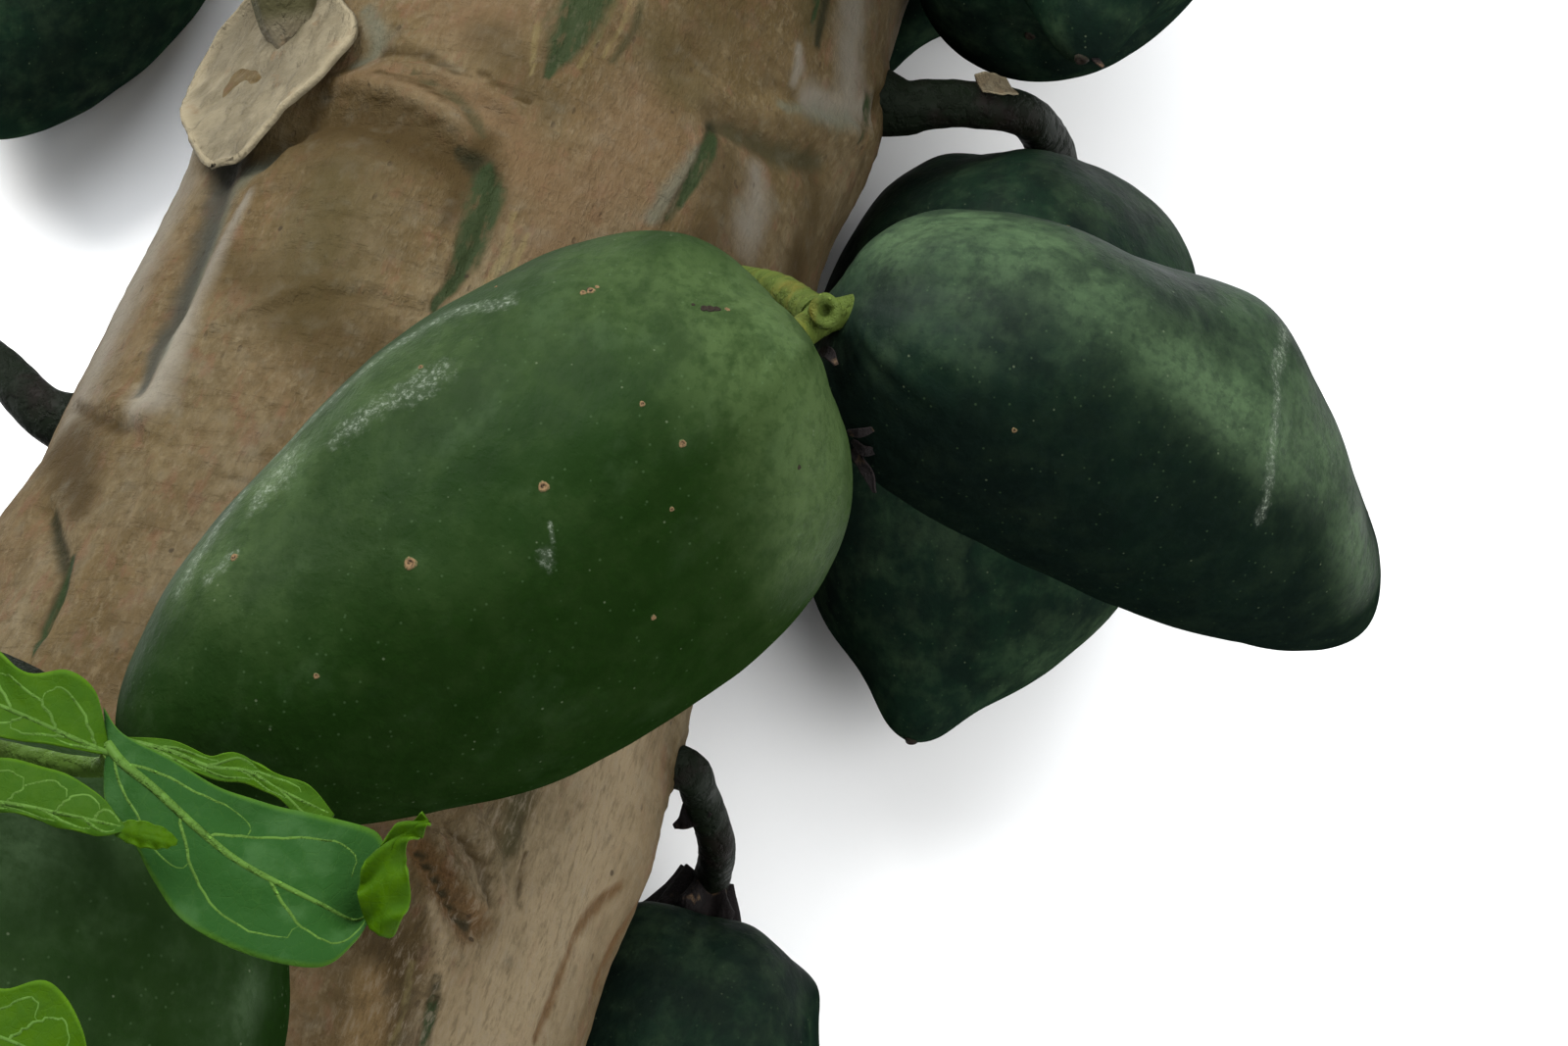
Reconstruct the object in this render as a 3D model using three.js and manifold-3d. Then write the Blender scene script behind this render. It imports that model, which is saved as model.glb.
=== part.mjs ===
// A cut length of pawpaw stem with the fruits, stalks, dried leaf base and young leaf shoot
// that it carries, laid on its side so that its outer fruits bear on the ground.
// Lengths are in millimetres. While the pieces are made, Y runs along the stem towards its
// growing end, Z points up and the ground is z = 0. X = 0 is the stem's centre line.
import * as THREE from "three";
import { mergeVertices } from "three/addons/utils/BufferGeometryUtils.js";
import Module from "manifold-3d";

const wasm = await Module();
wasm.setup();

// Stem
const STEM_RADIUS = 100;
const STEM_TAPER = 0.02;
const STEM_LOW_CUT = -20;
const STEM_HIGH_CUT = 780;
const STEM_REST_HEIGHT = 30;
const STEM_SIDES = 36;
const STEM_RINGS = 34;

// Leaf scars: a cushion under each fallen leaf, y along the stem, angle from the top in
// degrees towards +X. The listed ones lie on the upper side. The rest wind round the stem.
const SCAR_RISE = 4.5;
const SCAR_HALF_LENGTH = 34;
const SCAR_HALF_WIDTH = 27;
const UPPER_SCARS = [
  { y: 362, angle: -10 },
  { y: 404, angle: 42 },
  { y: 432, angle: 14 },
  { y: 258, angle: -56 },
  { y: 186, angle: 40 },
  { y: 236, angle: 86 },
  { y: 462, angle: 80 },
  { y: 400, angle: -50 },
];
const SCAR_TURN = 137.5;
const SCAR_PITCH = 26;
const UPPER_SIDE_ANGLE = 88;
const UPPER_SIDE_Y = [140, 520];

// Fruits: neck and tip points, greatest girth, the way and amount the middle bulges, and how
// pointed the tip is. A fruit that rests is raised or lowered until it touches the ground.
const FRUIT_AROUND = 20;
const FRUIT_ALONG = 14;
const FRUIT_WIDEST = 0.36;
const FRUIT_SHOULDER = 2.5;
const FRUIT_LOBES = 5;
const FRUIT_LOBE_FADE = 0.6;
const NECK_DIMPLE_DEPTH = 4;
const NECK_DIMPLE_RADIUS = 13;
const TIP_ROUNDING = 3;
const TIP_ROUNDING_RADIUS = 7;
const FRUITS = {
  fruit_front: {
    neck: [115.5, 313, 280], tip: [12, 179, 276], girth: 101, bulge: [-5.4, -7.7, -3],
    point: 1.55, lobe: 0.012,
  },
  fruit_right: {
    neck: [121.5, 337, 263], tip: [263, 342, 156], girth: 82, bulge: [10.3, 3.5, 0.2],
    point: 1.5, lobe: 0.015,
  },
  fruit_back_right: {
    neck: [144, 515, 72], tip: [150, 318, 62], girth: 120, bulge: [0, 0, 2],
    point: 1.25, lobe: 0.02, rests: true,
  },
  fruit_low_right: {
    neck: [106, 253, 58], tip: [121, 98, 46], girth: 84, bulge: [1, 0, 1],
    point: 1.5, lobe: 0.03, rests: true,
  },
  fruit_low_left: {
    neck: [-1, 169, 292], tip: [30, 8, 290], girth: 114, bulge: [0, 0, 1],
    point: 1.5, lobe: 0.03,
  },
  fruit_left: {
    neck: [-192, 306, 64], tip: [-184, 132, 52], girth: 100, bulge: [-2, 0, 2],
    point: 1.5, lobe: 0.02, rests: true,
  },
  fruit_top_left: {
    neck: [-212, 624, 70], tip: [-201, 444, 58], girth: 118, bulge: [-1, 0, 1],
    point: 1.35, lobe: 0.02, rests: true,
  },
  fruit_top_right: {
    neck: [143, 628, 232], tip: [156, 442, 234], girth: 102, bulge: [3, 0, 2],
    point: 1.3, lobe: 0.02,
  },
  fruit_top_middle: {
    neck: [144, 694, 128], tip: [131, 518, 132], girth: 100, bulge: [1, 0, 0],
    point: 2.8, lobe: 0.02,
  },
  fruit_top_back: {
    neck: [132, 728, 50], tip: [66, 566, 38], girth: 74, bulge: [6, 0, -1],
    point: 1.2, lobe: 0.02, rests: true,
  },
};

// Stalks: where each leaves the stem, the points that it arches through and its radius at
// the stem, halfway and at the fruit
const STALK_SIDES = 10;
const STALK_RINGS = 9;
const STALK_SUNK = 9;
const NECK_APPROACH = 12;
const NECK_OVERRUN = 1;
const STALKS = {
  stalk_back_right: {
    fruit: "fruit_back_right", root: { y: 482, angle: 94 }, radii: [9, 6.4, 8.5],
    arch: [[104, 493, 117], [119, 500, 115], [136, 512, 102]],
  },
  stalk_low_right: {
    fruit: "fruit_low_right", root: { y: 272, angle: 94 }, radii: [7, 4.6, 5.5],
    arch: [[104, 275, 103], [109, 268, 84]],
  },
  stalk_low_left: {
    fruit: "fruit_low_left", root: { y: 190, angle: -30 }, radii: [7.5, 6, 6.5],
    arch: [[-46, 188, 248], [-28, 184, 288]],
  },
  stalk_left: {
    fruit: "fruit_left", root: { y: 317, angle: -86 }, radii: [8, 6, 7],
    arch: [[-126, 330, 126], [-156, 342, 116], [-184, 334, 92]],
  },
  stalk_top_left: {
    fruit: "fruit_top_left", root: { y: 640, angle: -90 }, radii: [8, 6, 7.5],
    arch: [[-128, 654, 122], [-178, 660, 108]],
  },
  stalk_top_right: {
    fruit: "fruit_top_right", root: { y: 642, angle: 50 }, radii: [8, 6, 7.5],
    arch: [[108, 658, 218], [134, 658, 232]],
  },
  stalk_top_middle: {
    fruit: "fruit_top_middle", root: { y: 704, angle: 84 }, radii: [8, 6, 7.5],
    arch: [[118, 722, 132], [139, 722, 130]],
  },
  stalk_top_back: {
    fruit: "fruit_top_back", root: { y: 730, angle: 108 }, radii: [8, 6, 7.5],
    arch: [[110, 746, 84], [132, 752, 66]],
  },
};

// The forked stalk that carries the two front fruits, and its third arm that ends in a cut
const FORK_ROOT = { y: 378, angle: 50 };
const FORK_ARCH = [[84, 364, 214], [103, 346, 245]];
const FORK_POINT = [117, 330, 264];
const FORK_RADII = [7.5, 3.6, 4.4];
const FORK_ARM_RADII = [4.2, 3.8, 4.4];
const FORK_STUB_END = [120, 324, 278];
const FORK_STUB_RADII = [3.8, 3.4, 3.8];
const FORK_RINGS = 5;
const FORK_ARM_START = 0.15;

// Dried leaf base: a shield that clasps the stem and the stub of its leaf stalk. The shield
// runs up the stem from its lower point, and its lower edge lifts off the bark.
const BASE_ANGLE = -42;
const BASE_LOW_Y = 374;
const BASE_LENGTH = 80;
const BASE_HALF_WIDTH = 38;
const BASE_THICKNESS = 3;
const BASE_LIFT = 5;
const BASE_STUB_PLACE = 0.58;
const BASE_STUB_LENGTH = 66;
const BASE_STUB_RADII = [12, 9.5, 8.5];
const BASE_STUB_LEAN = 0.7;
const BASE_STUB_RINGS = 4;
const BASE_EDGE_TURNS = [0.05, 0.75];
const BASE_EDGE_POWER = 0.9;

// Young shoot: its stem, two leaf stalks, and leaves of a few lobes that meet where the
// leaf stalk ends. Each lobe has its tip, a point that its midrib bends towards and its width.
const SHOOT_ROOT = { y: 196, angle: -44 };
const SHOOT_ARCH = [[-78, 172, 268], [-52, 152, 330]];
const SHOOT_RADII = [6, 4.2, 3.2];
const LEAF_STALK_RADII = [2.6, 2.2, 2.2];
const LEAF_STALK_DROP = 11;
const LEAF_STALK_LEAN = 5;
const LEAF_STALK_START = 0.1;
const LEAF_STALK_RINGS = 7;
const LEAF_JOINT_DEPTH = 0.3;
const LEAF_THICKNESS = 1.6;
const LEAF_STEPS = 8;
const LEAF_STEPS_ACROSS = 4;
const LEAF_ROOT_WIDTH = 0.3;
const LEAF_LEAST_WIDTH = 0.06;
const LEAF_CUP = 0.12;
const LEAF_BROAD_PLACE = 1.15;
const LEAF_BLUNTNESS = 0.75;
const LEAF_WAVES = 5;
const LEAF_WAVE_DEPTH = 0.1;
const LEAVES = {
  leaf_upper: {
    joint: [36, 151, 364],
    lobes: [
      { tip: [-28, 157, 360], bend: [4, 158, 369], width: 16 },
      { tip: [90, 136, 365], bend: [60, 130, 370], width: 31 },
      { tip: [77, 151, 360], bend: [56, 159, 364], width: 8 },
      { base: [90, 128, 363], tip: [95, 152, 375], bend: [97, 140, 368], width: 10 },
    ],
  },
  leaf_lower: {
    joint: [-4, 128, 361],
    lobes: [
      { tip: [56, 135, 376], bend: [28, 139, 373], width: 11 },
      { tip: [52, 92, 362], bend: [18, 97, 367], width: 20 },
      { tip: [-30, 70, 358], bend: [-12, 98, 366], width: 22 },
      { tip: [-72, 106, 350], bend: [-40, 114, 364], width: 22 },
    ],
  },
};

const SKIN = { fruit: 0x33502f, bark: 0x9a8468, stalk: 0x3c4f2c, dried: 0x9d9078, leaf: 0x3f7a28 };
const CLEARANCE = 0.35;
const SHORTEST_EDGE = 0.03;

const vector = (values) => new THREE.Vector3(...values);
const radians = THREE.MathUtils.degToRad;

function finish(color, roughness) {
  return new THREE.MeshStandardMaterial({ color, roughness, metalness: 0 });
}

// Moves every vertex of a closed three.js geometry to the point that place gives for it.
function reshape(geometry, place) {
  geometry.deleteAttribute("normal");
  geometry.deleteAttribute("uv");
  const position = geometry.attributes.position;
  const point = new THREE.Vector3();
  for (let i = 0; i < position.count; i += 1) {
    point.fromBufferAttribute(position, i);
    place(point);
    position.setXYZ(i, point.x, point.y, point.z);
  }
  return mergeVertices(geometry, 1e-4);
}

function toSolid(geometry) {
  return new wasm.Manifold(new wasm.Mesh({
    numProp: 3,
    vertProperties: new Float32Array(geometry.attributes.position.array),
    triVerts: new Uint32Array(geometry.index.array),
  }));
}

function toGeometry(solid) {
  const mesh = solid.simplify(SHORTEST_EDGE).getMesh();
  const geometry = new THREE.BufferGeometry();
  geometry.setAttribute("position", new THREE.BufferAttribute(mesh.vertProperties, 3));
  geometry.setIndex(new THREE.BufferAttribute(mesh.triVerts, 1));
  return geometry;
}

const stemRadius = (y) => STEM_RADIUS - STEM_TAPER * y;
const stemCentre = (y) => STEM_REST_HEIGHT + stemRadius(y);

function stemPoint(y, angle, outside) {
  const reach = stemRadius(y) + outside;
  return new THREE.Vector3(
    reach * Math.sin(radians(angle)), y, stemCentre(y) + reach * Math.cos(radians(angle)),
  );
}

// Scars wind round the stem by a fixed turn, except where the listed ones are.
function allScars() {
  const scars = [...UPPER_SCARS];
  const count = Math.floor((STEM_HIGH_CUT - STEM_LOW_CUT) / SCAR_PITCH);
  for (let i = 1; i < count; i += 1) {
    const y = STEM_LOW_CUT + i * SCAR_PITCH;
    const angle = ((i * SCAR_TURN + 180) % 360) - 180;
    const listed = Math.abs(angle) < UPPER_SIDE_ANGLE && y > UPPER_SIDE_Y[0] && y < UPPER_SIDE_Y[1];
    if (!listed) scars.push({ y, angle });
  }
  return scars;
}

const SCARS = allScars();

function scarRise(y, angle) {
  let rise = 0;
  for (const scar of SCARS) {
    const turn = ((angle - scar.angle + 540) % 360) - 180;
    const across = (radians(turn) * STEM_RADIUS) / SCAR_HALF_WIDTH;
    const along = (y - scar.y) / SCAR_HALF_LENGTH;
    const reach = across * across + along * along;
    if (reach < 1) rise = Math.max(rise, SCAR_RISE * (1 - reach) ** 2);
  }
  return rise;
}

function stemGeometry(outside) {
  const cylinder = new THREE.CylinderGeometry(1, 1, 1, STEM_SIDES, STEM_RINGS);
  return reshape(cylinder, (point) => {
    const length = STEM_HIGH_CUT - STEM_LOW_CUT + 2 * outside;
    const y = STEM_LOW_CUT - outside + (point.y + 0.5) * length;
    const spoke = Math.hypot(point.x, point.z);
    const angle = THREE.MathUtils.radToDeg(Math.atan2(point.x, point.z));
    const reach = spoke * (stemRadius(y) + scarRise(y, angle) + outside);
    point.set(reach * Math.sin(radians(angle)), y, stemCentre(y) + reach * Math.cos(radians(angle)));
  });
}

// A fruit is made along +Y from its neck at the origin, bulging towards +X.
function fruitGeometry(fruit) {
  const length = vector(fruit.neck).distanceTo(vector(fruit.tip));
  const bulge = vector(fruit.bulge).length();
  const sphere = new THREE.SphereGeometry(1, FRUIT_AROUND, FRUIT_ALONG);
  return reshape(sphere, (point) => {
    const spoke = Math.hypot(point.x, point.z);
    const turn = Math.atan2(point.z, point.x);
    const towardsNeck = point.y > 0;
    const rise = Math.abs(point.y);
    const along = towardsNeck
      ? FRUIT_WIDEST * (1 - rise ** (2 / FRUIT_SHOULDER))
      : FRUIT_WIDEST + (1 - FRUIT_WIDEST) * rise;
    const fullness = spoke ** (2 / (towardsNeck ? FRUIT_SHOULDER : fruit.point));
    const furrow = 1 + fruit.lobe * Math.cos(FRUIT_LOBES * turn) * (1 - FRUIT_LOBE_FADE * along);
    const reach = 0.5 * fruit.girth * fullness * furrow;
    const endShift = towardsNeck
      ? NECK_DIMPLE_DEPTH * Math.exp(-((reach / NECK_DIMPLE_RADIUS) ** 2))
      : -TIP_ROUNDING * Math.exp(-((reach / TIP_ROUNDING_RADIUS) ** 2));
    point.set(
      reach * Math.cos(turn) + bulge * 4 * along * (1 - along),
      length * along + endShift,
      -reach * Math.sin(turn),
    );
  });
}

function fruitMesh(name, fruit) {
  const mesh = new THREE.Mesh(fruitGeometry(fruit), finish(SKIN.fruit, 0.45));
  const axis = vector(fruit.tip).sub(vector(fruit.neck)).normalize();
  const bulge = vector(fruit.bulge);
  bulge.addScaledVector(axis, -bulge.dot(axis)).normalize();
  const side = new THREE.Vector3().crossVectors(bulge, axis);
  mesh.name = name;
  mesh.quaternion.setFromRotationMatrix(new THREE.Matrix4().makeBasis(bulge, axis, side));
  mesh.position.copy(vector(fruit.neck));
  if (fruit.rests) {
    mesh.updateMatrixWorld();
    mesh.position.z -= new THREE.Box3().setFromObject(mesh, true).min.z;
  }
  mesh.updateMatrixWorld();
  return mesh;
}

function neckPoint(mesh, outside) {
  return mesh.localToWorld(new THREE.Vector3(0, NECK_DIMPLE_DEPTH - outside, 0));
}

// The fruit's solid, a little larger on every side, which cuts a seat for what touches it
function grownFruit(mesh, fruit) {
  const length = vector(fruit.neck).distanceTo(vector(fruit.tip));
  const across = 1 + (2 * CLEARANCE) / fruit.girth;
  const along = 1 + (2 * CLEARANCE) / length;
  const matrix = new THREE.Matrix4()
    .makeTranslation(0, length / 2, 0)
    .multiply(new THREE.Matrix4().makeScale(across, along, across))
    .multiply(new THREE.Matrix4().makeTranslation(0, -length / 2, 0));
  return toSolid(mesh.geometry.clone().applyMatrix4(matrix).applyMatrix4(mesh.matrixWorld));
}

// A round limb along a smooth curve. Its radius eases from the first value through the
// second, halfway, to the third.
function limbGeometry(points, radii, rings = STALK_RINGS) {
  const curve = new THREE.CatmullRomCurve3(points, false, "centripetal");
  const frames = curve.computeFrenetFrames(rings, false);
  const cylinder = new THREE.CylinderGeometry(1, 1, 1, STALK_SIDES, rings);
  return reshape(cylinder, (point) => {
    const ring = Math.round((0.5 - point.y) * rings);
    const t = ring / rings;
    const ease = Math.abs(2 * t - 1) ** 2;
    const radius = radii[1] + (radii[t < 0.5 ? 0 : 2] - radii[1]) * ease;
    const centre = curve.getPointAt(t);
    const { x, z } = point;
    point.copy(centre)
      .addScaledVector(frames.normals[ring], x * radius)
      .addScaledVector(frames.binormals[ring], z * radius);
  });
}

function solidMesh(name, solid, material) {
  const mesh = new THREE.Mesh(toGeometry(solid), material);
  mesh.name = name;
  return mesh;
}

// The dried leaf base's shield, which follows the stem's round and is widest halfway up
function shieldGeometry() {
  const box = new THREE.BoxGeometry(1, 1, 1, 8, 8, 1);
  return reshape(box, (point) => {
    const along = point.y + 0.5;
    const y = BASE_LOW_Y + BASE_LENGTH * along;
    const turns = BASE_EDGE_TURNS[0] + BASE_EDGE_TURNS[1] * along;
    const halfWidth = BASE_HALF_WIDTH * Math.sin(turns * Math.PI) ** BASE_EDGE_POWER;
    const turn = THREE.MathUtils.radToDeg((2 * point.x * halfWidth) / stemRadius(y));
    const lift = BASE_LIFT * (1 - along) ** 2 + BASE_THICKNESS * (point.z + 0.5);
    point.copy(stemPoint(y, BASE_ANGLE + turn, lift + CLEARANCE));
  });
}

function leafBaseSolid() {
  const low = stemPoint(BASE_LOW_Y + BASE_STUB_PLACE * BASE_LENGTH, BASE_ANGLE, BASE_THICKNESS / 2);
  const outward = stemPoint(low.y, BASE_ANGLE, 1).sub(stemPoint(low.y, BASE_ANGLE, 0));
  const run = new THREE.Vector3(0, 1, 0).addScaledVector(outward, BASE_STUB_LEAN).normalize();
  const points = [0, 0.5, 1].map((t) => low.clone().addScaledVector(run, t * BASE_STUB_LENGTH));
  const stub = toSolid(limbGeometry(points, BASE_STUB_RADII, BASE_STUB_RINGS));
  return toSolid(shieldGeometry()).add(stub).subtract(stemSeat);
}

// One lobe of a leaf: a thin blade along its bent midrib, cupped across and wavy at its
// margin. Grown makes it larger all round.
function lobeGeometry(joint, lobe, grown) {
  const base = lobe.base ? vector(lobe.base) : joint;
  const midrib = new THREE.QuadraticBezierCurve3(base, vector(lobe.bend), vector(lobe.tip));
  const up = new THREE.Vector3(0, 0, 1);
  const box = new THREE.BoxGeometry(1, 1, 1, LEAF_STEPS_ACROSS, LEAF_STEPS, 1);
  return reshape(box, (point) => {
    const along = point.y + 0.5;
    const across = 2 * point.x;
    const swell = Math.sin(Math.PI * along ** LEAF_BROAD_PLACE) ** LEAF_BLUNTNESS;
    const root = LEAF_ROOT_WIDTH * (1 - along);
    const wave = 1 + LEAF_WAVE_DEPTH * Math.cos(2 * Math.PI * LEAF_WAVES * along);
    const halfWidth = 0.5 * lobe.width * Math.max(LEAF_LEAST_WIDTH, swell * wave, root) + grown;
    const run = midrib.getTangent(along);
    const side = new THREE.Vector3().crossVectors(run, up).normalize();
    const height = LEAF_CUP * halfWidth * across * across
      + point.z * (LEAF_THICKNESS + 2 * grown);
    const overrun = grown * (2 * along - 1);
    point.copy(midrib.getPoint(along))
      .addScaledVector(run, overrun)
      .addScaledVector(side, across * halfWidth)
      .addScaledVector(up, height);
  });
}

function leafSolid(leaf, grown) {
  const joint = vector(leaf.joint);
  const lobes = leaf.lobes.map((lobe) => toSolid(lobeGeometry(joint, lobe, grown)));
  return lobes.reduce((whole, lobe) => whole.add(lobe));
}

function shootSolid() {
  const root = stemPoint(SHOOT_ROOT.y, SHOOT_ROOT.angle, -STALK_SUNK);
  const leave = stemPoint(SHOOT_ROOT.y, SHOOT_ROOT.angle, STALK_SUNK);
  const arch = SHOOT_ARCH.map(vector);
  let solid = toSolid(limbGeometry([root, leave, ...arch], SHOOT_RADII));
  for (const leaf of Object.values(LEAVES)) {
    const joint = vector(leaf.joint).setZ(leaf.joint[2] - LEAF_JOINT_DEPTH * LEAF_THICKNESS);
    const below = joint.clone().add(new THREE.Vector3(-LEAF_STALK_LEAN, 0, -LEAF_STALK_DROP));
    const node = arch[arch.length - 1];
    const start = node.clone().lerp(arch[arch.length - 2], LEAF_STALK_START);
    const points = [start, node, node.clone().lerp(below, 0.5), below, joint];
    solid = solid.add(toSolid(limbGeometry(points, LEAF_STALK_RADII, LEAF_STALK_RINGS)));
  }
  for (const leaf of Object.values(LEAVES)) solid = solid.subtract(leafSolid(leaf, CLEARANCE));
  return solid.subtract(stemSeat);
}

function forkSolid() {
  const fork = vector(FORK_POINT);
  const root = stemPoint(FORK_ROOT.y, FORK_ROOT.angle, -STALK_SUNK);
  const leave = stemPoint(FORK_ROOT.y, FORK_ROOT.angle, STALK_SUNK);
  const main = [root, leave, ...FORK_ARCH.map(vector), fork];
  let solid = toSolid(limbGeometry(main, FORK_RADII));
  const before = fork.clone().lerp(vector(FORK_ARCH[FORK_ARCH.length - 1]), FORK_ARM_START);
  const stub = [before, fork, vector(FORK_STUB_END)];
  solid = solid.add(toSolid(limbGeometry(stub, FORK_STUB_RADII, FORK_RINGS)));
  for (const name of ["fruit_front", "fruit_right"]) {
    const neck = neckPoint(fruitMeshes[name], -NECK_OVERRUN);
    const arm = [before, fork, fork.clone().lerp(neck, 0.5), neck];
    solid = solid.add(toSolid(limbGeometry(arm, FORK_ARM_RADII, FORK_RINGS)));
  }
  for (const name of ["fruit_front", "fruit_right"]) {
    solid = solid.subtract(grownFruit(fruitMeshes[name], FRUITS[name]));
  }
  return solid.subtract(stemSeat);
}

const group = new THREE.Group();
const plant = new THREE.Group();
group.add(plant);

const stem = new THREE.Mesh(stemGeometry(0), finish(SKIN.bark, 0.85));
stem.name = "trunk";
plant.add(stem);
const stemSeat = toSolid(stemGeometry(CLEARANCE));

const fruitMeshes = {};
for (const [name, fruit] of Object.entries(FRUITS)) {
  fruitMeshes[name] = fruitMesh(name, fruit);
  plant.add(fruitMeshes[name]);
}

for (const [name, stalk] of Object.entries(STALKS)) {
  const fruit = fruitMeshes[stalk.fruit];
  const points = [
    stemPoint(stalk.root.y, stalk.root.angle, -STALK_SUNK),
    stemPoint(stalk.root.y, stalk.root.angle, STALK_SUNK),
    ...stalk.arch.map(vector),
    neckPoint(fruit, NECK_APPROACH),
    neckPoint(fruit, -NECK_OVERRUN),
  ];
  const solid = toSolid(limbGeometry(points, stalk.radii))
    .subtract(stemSeat)
    .subtract(grownFruit(fruit, FRUITS[stalk.fruit]));
  plant.add(solidMesh(name, solid, finish(SKIN.stalk, 0.6)));
}

plant.add(solidMesh("stalk_front_pair", forkSolid(), finish(SKIN.stalk, 0.6)));
plant.add(solidMesh("dried_leaf_base", leafBaseSolid(), finish(SKIN.dried, 0.9)));
plant.add(solidMesh("young_shoot", shootSolid(), finish(SKIN.stalk, 0.6)));
for (const [name, leaf] of Object.entries(LEAVES)) {
  plant.add(solidMesh(name, leafSolid(leaf, 0), finish(SKIN.leaf, 0.5)));
}

group.updateMatrixWorld();
const bounds = new THREE.Box3().setFromObject(group, true);
plant.position.set(
  -(bounds.min.x + bounds.max.x) / 2, -(bounds.min.y + bounds.max.y) / 2, -bounds.min.z,
);

export default group;
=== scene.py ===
"""A cut length of pawpaw stem with its fruits, stalks, dried leaf base and young leaf shoot.

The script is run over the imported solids. It gives every solid a detailed mesh and a finish of
its own, in metres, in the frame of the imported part.
"""

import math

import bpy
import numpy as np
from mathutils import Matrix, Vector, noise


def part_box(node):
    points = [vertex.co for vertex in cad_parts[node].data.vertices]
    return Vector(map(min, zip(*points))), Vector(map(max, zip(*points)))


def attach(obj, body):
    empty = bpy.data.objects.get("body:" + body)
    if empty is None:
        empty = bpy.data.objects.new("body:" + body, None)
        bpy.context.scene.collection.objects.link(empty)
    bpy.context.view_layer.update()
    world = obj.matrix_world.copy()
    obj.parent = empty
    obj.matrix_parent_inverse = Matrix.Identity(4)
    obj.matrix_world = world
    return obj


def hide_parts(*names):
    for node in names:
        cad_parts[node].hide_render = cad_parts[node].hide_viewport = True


bl_info = {
    "name": "Pawpaw Stem",
    "version": (1, 0, 0),
    "blender": (4, 5, 0),
    "location": "View3D > Sidebar > Pawpaw",
    "description": "Builds a cut length of fruiting pawpaw stem with bark, fruits and leaves",
    "category": "Add Mesh",
}

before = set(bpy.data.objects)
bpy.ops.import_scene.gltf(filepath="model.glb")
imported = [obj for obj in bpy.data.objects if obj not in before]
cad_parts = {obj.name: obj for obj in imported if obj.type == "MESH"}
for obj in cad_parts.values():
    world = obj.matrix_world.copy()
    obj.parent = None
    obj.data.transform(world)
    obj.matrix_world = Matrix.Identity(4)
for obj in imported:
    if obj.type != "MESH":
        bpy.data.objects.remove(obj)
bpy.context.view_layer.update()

# The plant's own frame is in millimetres: y runs up the stem, z points up and x = 0 is the
# stem's axis. These two say where it stands in the row frame, in metres.
MM = 0.001
STEM_AXIS_X = 0.0018956
STEM_MIDDLE_Y = 380

# Stem, as in the solids
STEM_RADIUS = 100
STEM_TAPER = 0.02
STEM_LOW_CUT = -20
STEM_HIGH_CUT = 780
STEM_REST_HEIGHT = 30
SCAR_RISE = 4.5
SCAR_HALF_LENGTH = 34
SCAR_HALF_WIDTH = 27
UPPER_SCARS = ((362, -10), (404, 42), (432, 14), (258, -56), (186, 40), (236, 86), (462, 80), (400, -50))
SCAR_TURN = 137.5
SCAR_PITCH = 26
UPPER_SIDE_ANGLE = 88
UPPER_SIDE_Y = (140, 520)

# Points on each stretch of a curve before they are spaced evenly
CURVE_STEPS = 24

# Points along a stalk, along the fork and the shoot, and along their arms
STALK_POINTS = 70
MAIN_POINTS = 60
ARM_POINTS = 24
LEAF_STALK_POINTS = 50

# Rows and spots of the small shapes
BASE_ROWS = 76
BASE_ACROSS = 61
BASE_STUB_ROWS = 46
BASE_STUB_AROUND = 48
CALYX_AROUND = 60
SCRAP_ROWS = 16
SCRAP_ACROSS = 9
SCAB_AROUND = 12

# A scab's rings on its spot: radius, height
SCAB_RINGS = ((1.25, -0.25), (1.0, 0.12), (0.8, 0.28), (0.5, 0.16), (0.25, 0.02))

# The fork's stub: the first heights, how short of its end the others are, and the radii as shares
FORK_STUB_LOW = (-2, 3)
FORK_STUB_SHORT = (4, 1.6, 0.4, 0, 0.1, 0.9, 2.6, 3.4)
FORK_STUB_SHARES = (0.8, 0.96, 0.98, 1.06, 1.04, 0.84, 0.62, 0.42, 0.24, 0.1)
FORK_STUB_AROUND = 36

# A side vein's loop: along in steps from vein to vein, and across from the rib to the edge
VEIN_LOOP = ((0, 0), (0.22, 0.3), (0.55, 0.55), (0.95, 0.72), (1.25, 0.62), (1.32, 0.42))
VEIN_START = 0.06
VEIN_REACH = 0.8
VEIN_POINTS = 22

# The grid that veins are found on, from the rib to the edge, and how far along the rib goes
VEIN_GRID = 40
RIB_REACH = 0.96

# Colours that no setting holds
BARK_RUST = (0.085, 0.043, 0.024)
CORK_LIGHT = (0.145, 0.118, 0.083)
CORK_GAP = (0.020, 0.014, 0.007)
BARK_DOT = (0.022, 0.015, 0.009)
BARK_PIT = (0.016, 0.011, 0.007)
CUT_PITH = (0.30, 0.21, 0.12)
CUT_FLESH = (0.62, 0.55, 0.36)
CUT_FIBRE = (0.42, 0.34, 0.19)
CUT_RING = (0.46, 0.38, 0.22)
CUT_GREEN = (0.24, 0.30, 0.10)
CUT_RIM = (0.24, 0.16, 0.10)
FRUIT_PORE = (0.12, 0.15, 0.09)
DRY_MILK_AND_RIM_LIGHT = (0.19, 0.22, 0.175)
DRIED_RUST = (0.10, 0.062, 0.032)
# Dark olive of the dried base, partly painted shade round its stub
DRIED_OLIVE_AND_SHADE = (0.030, 0.028, 0.009)
# Lighter rim at the lobes' edges, a painted rim light
LEAF_RIM_LIGHT = (0.08, 0.17, 0.01)
# Painted sheen in patches on the leaf blade
LEAF_SHEEN = (0.034, 0.078, 0.026)
SPOT_MIDDLE = (0.012, 0.008, 0.004)

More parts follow.
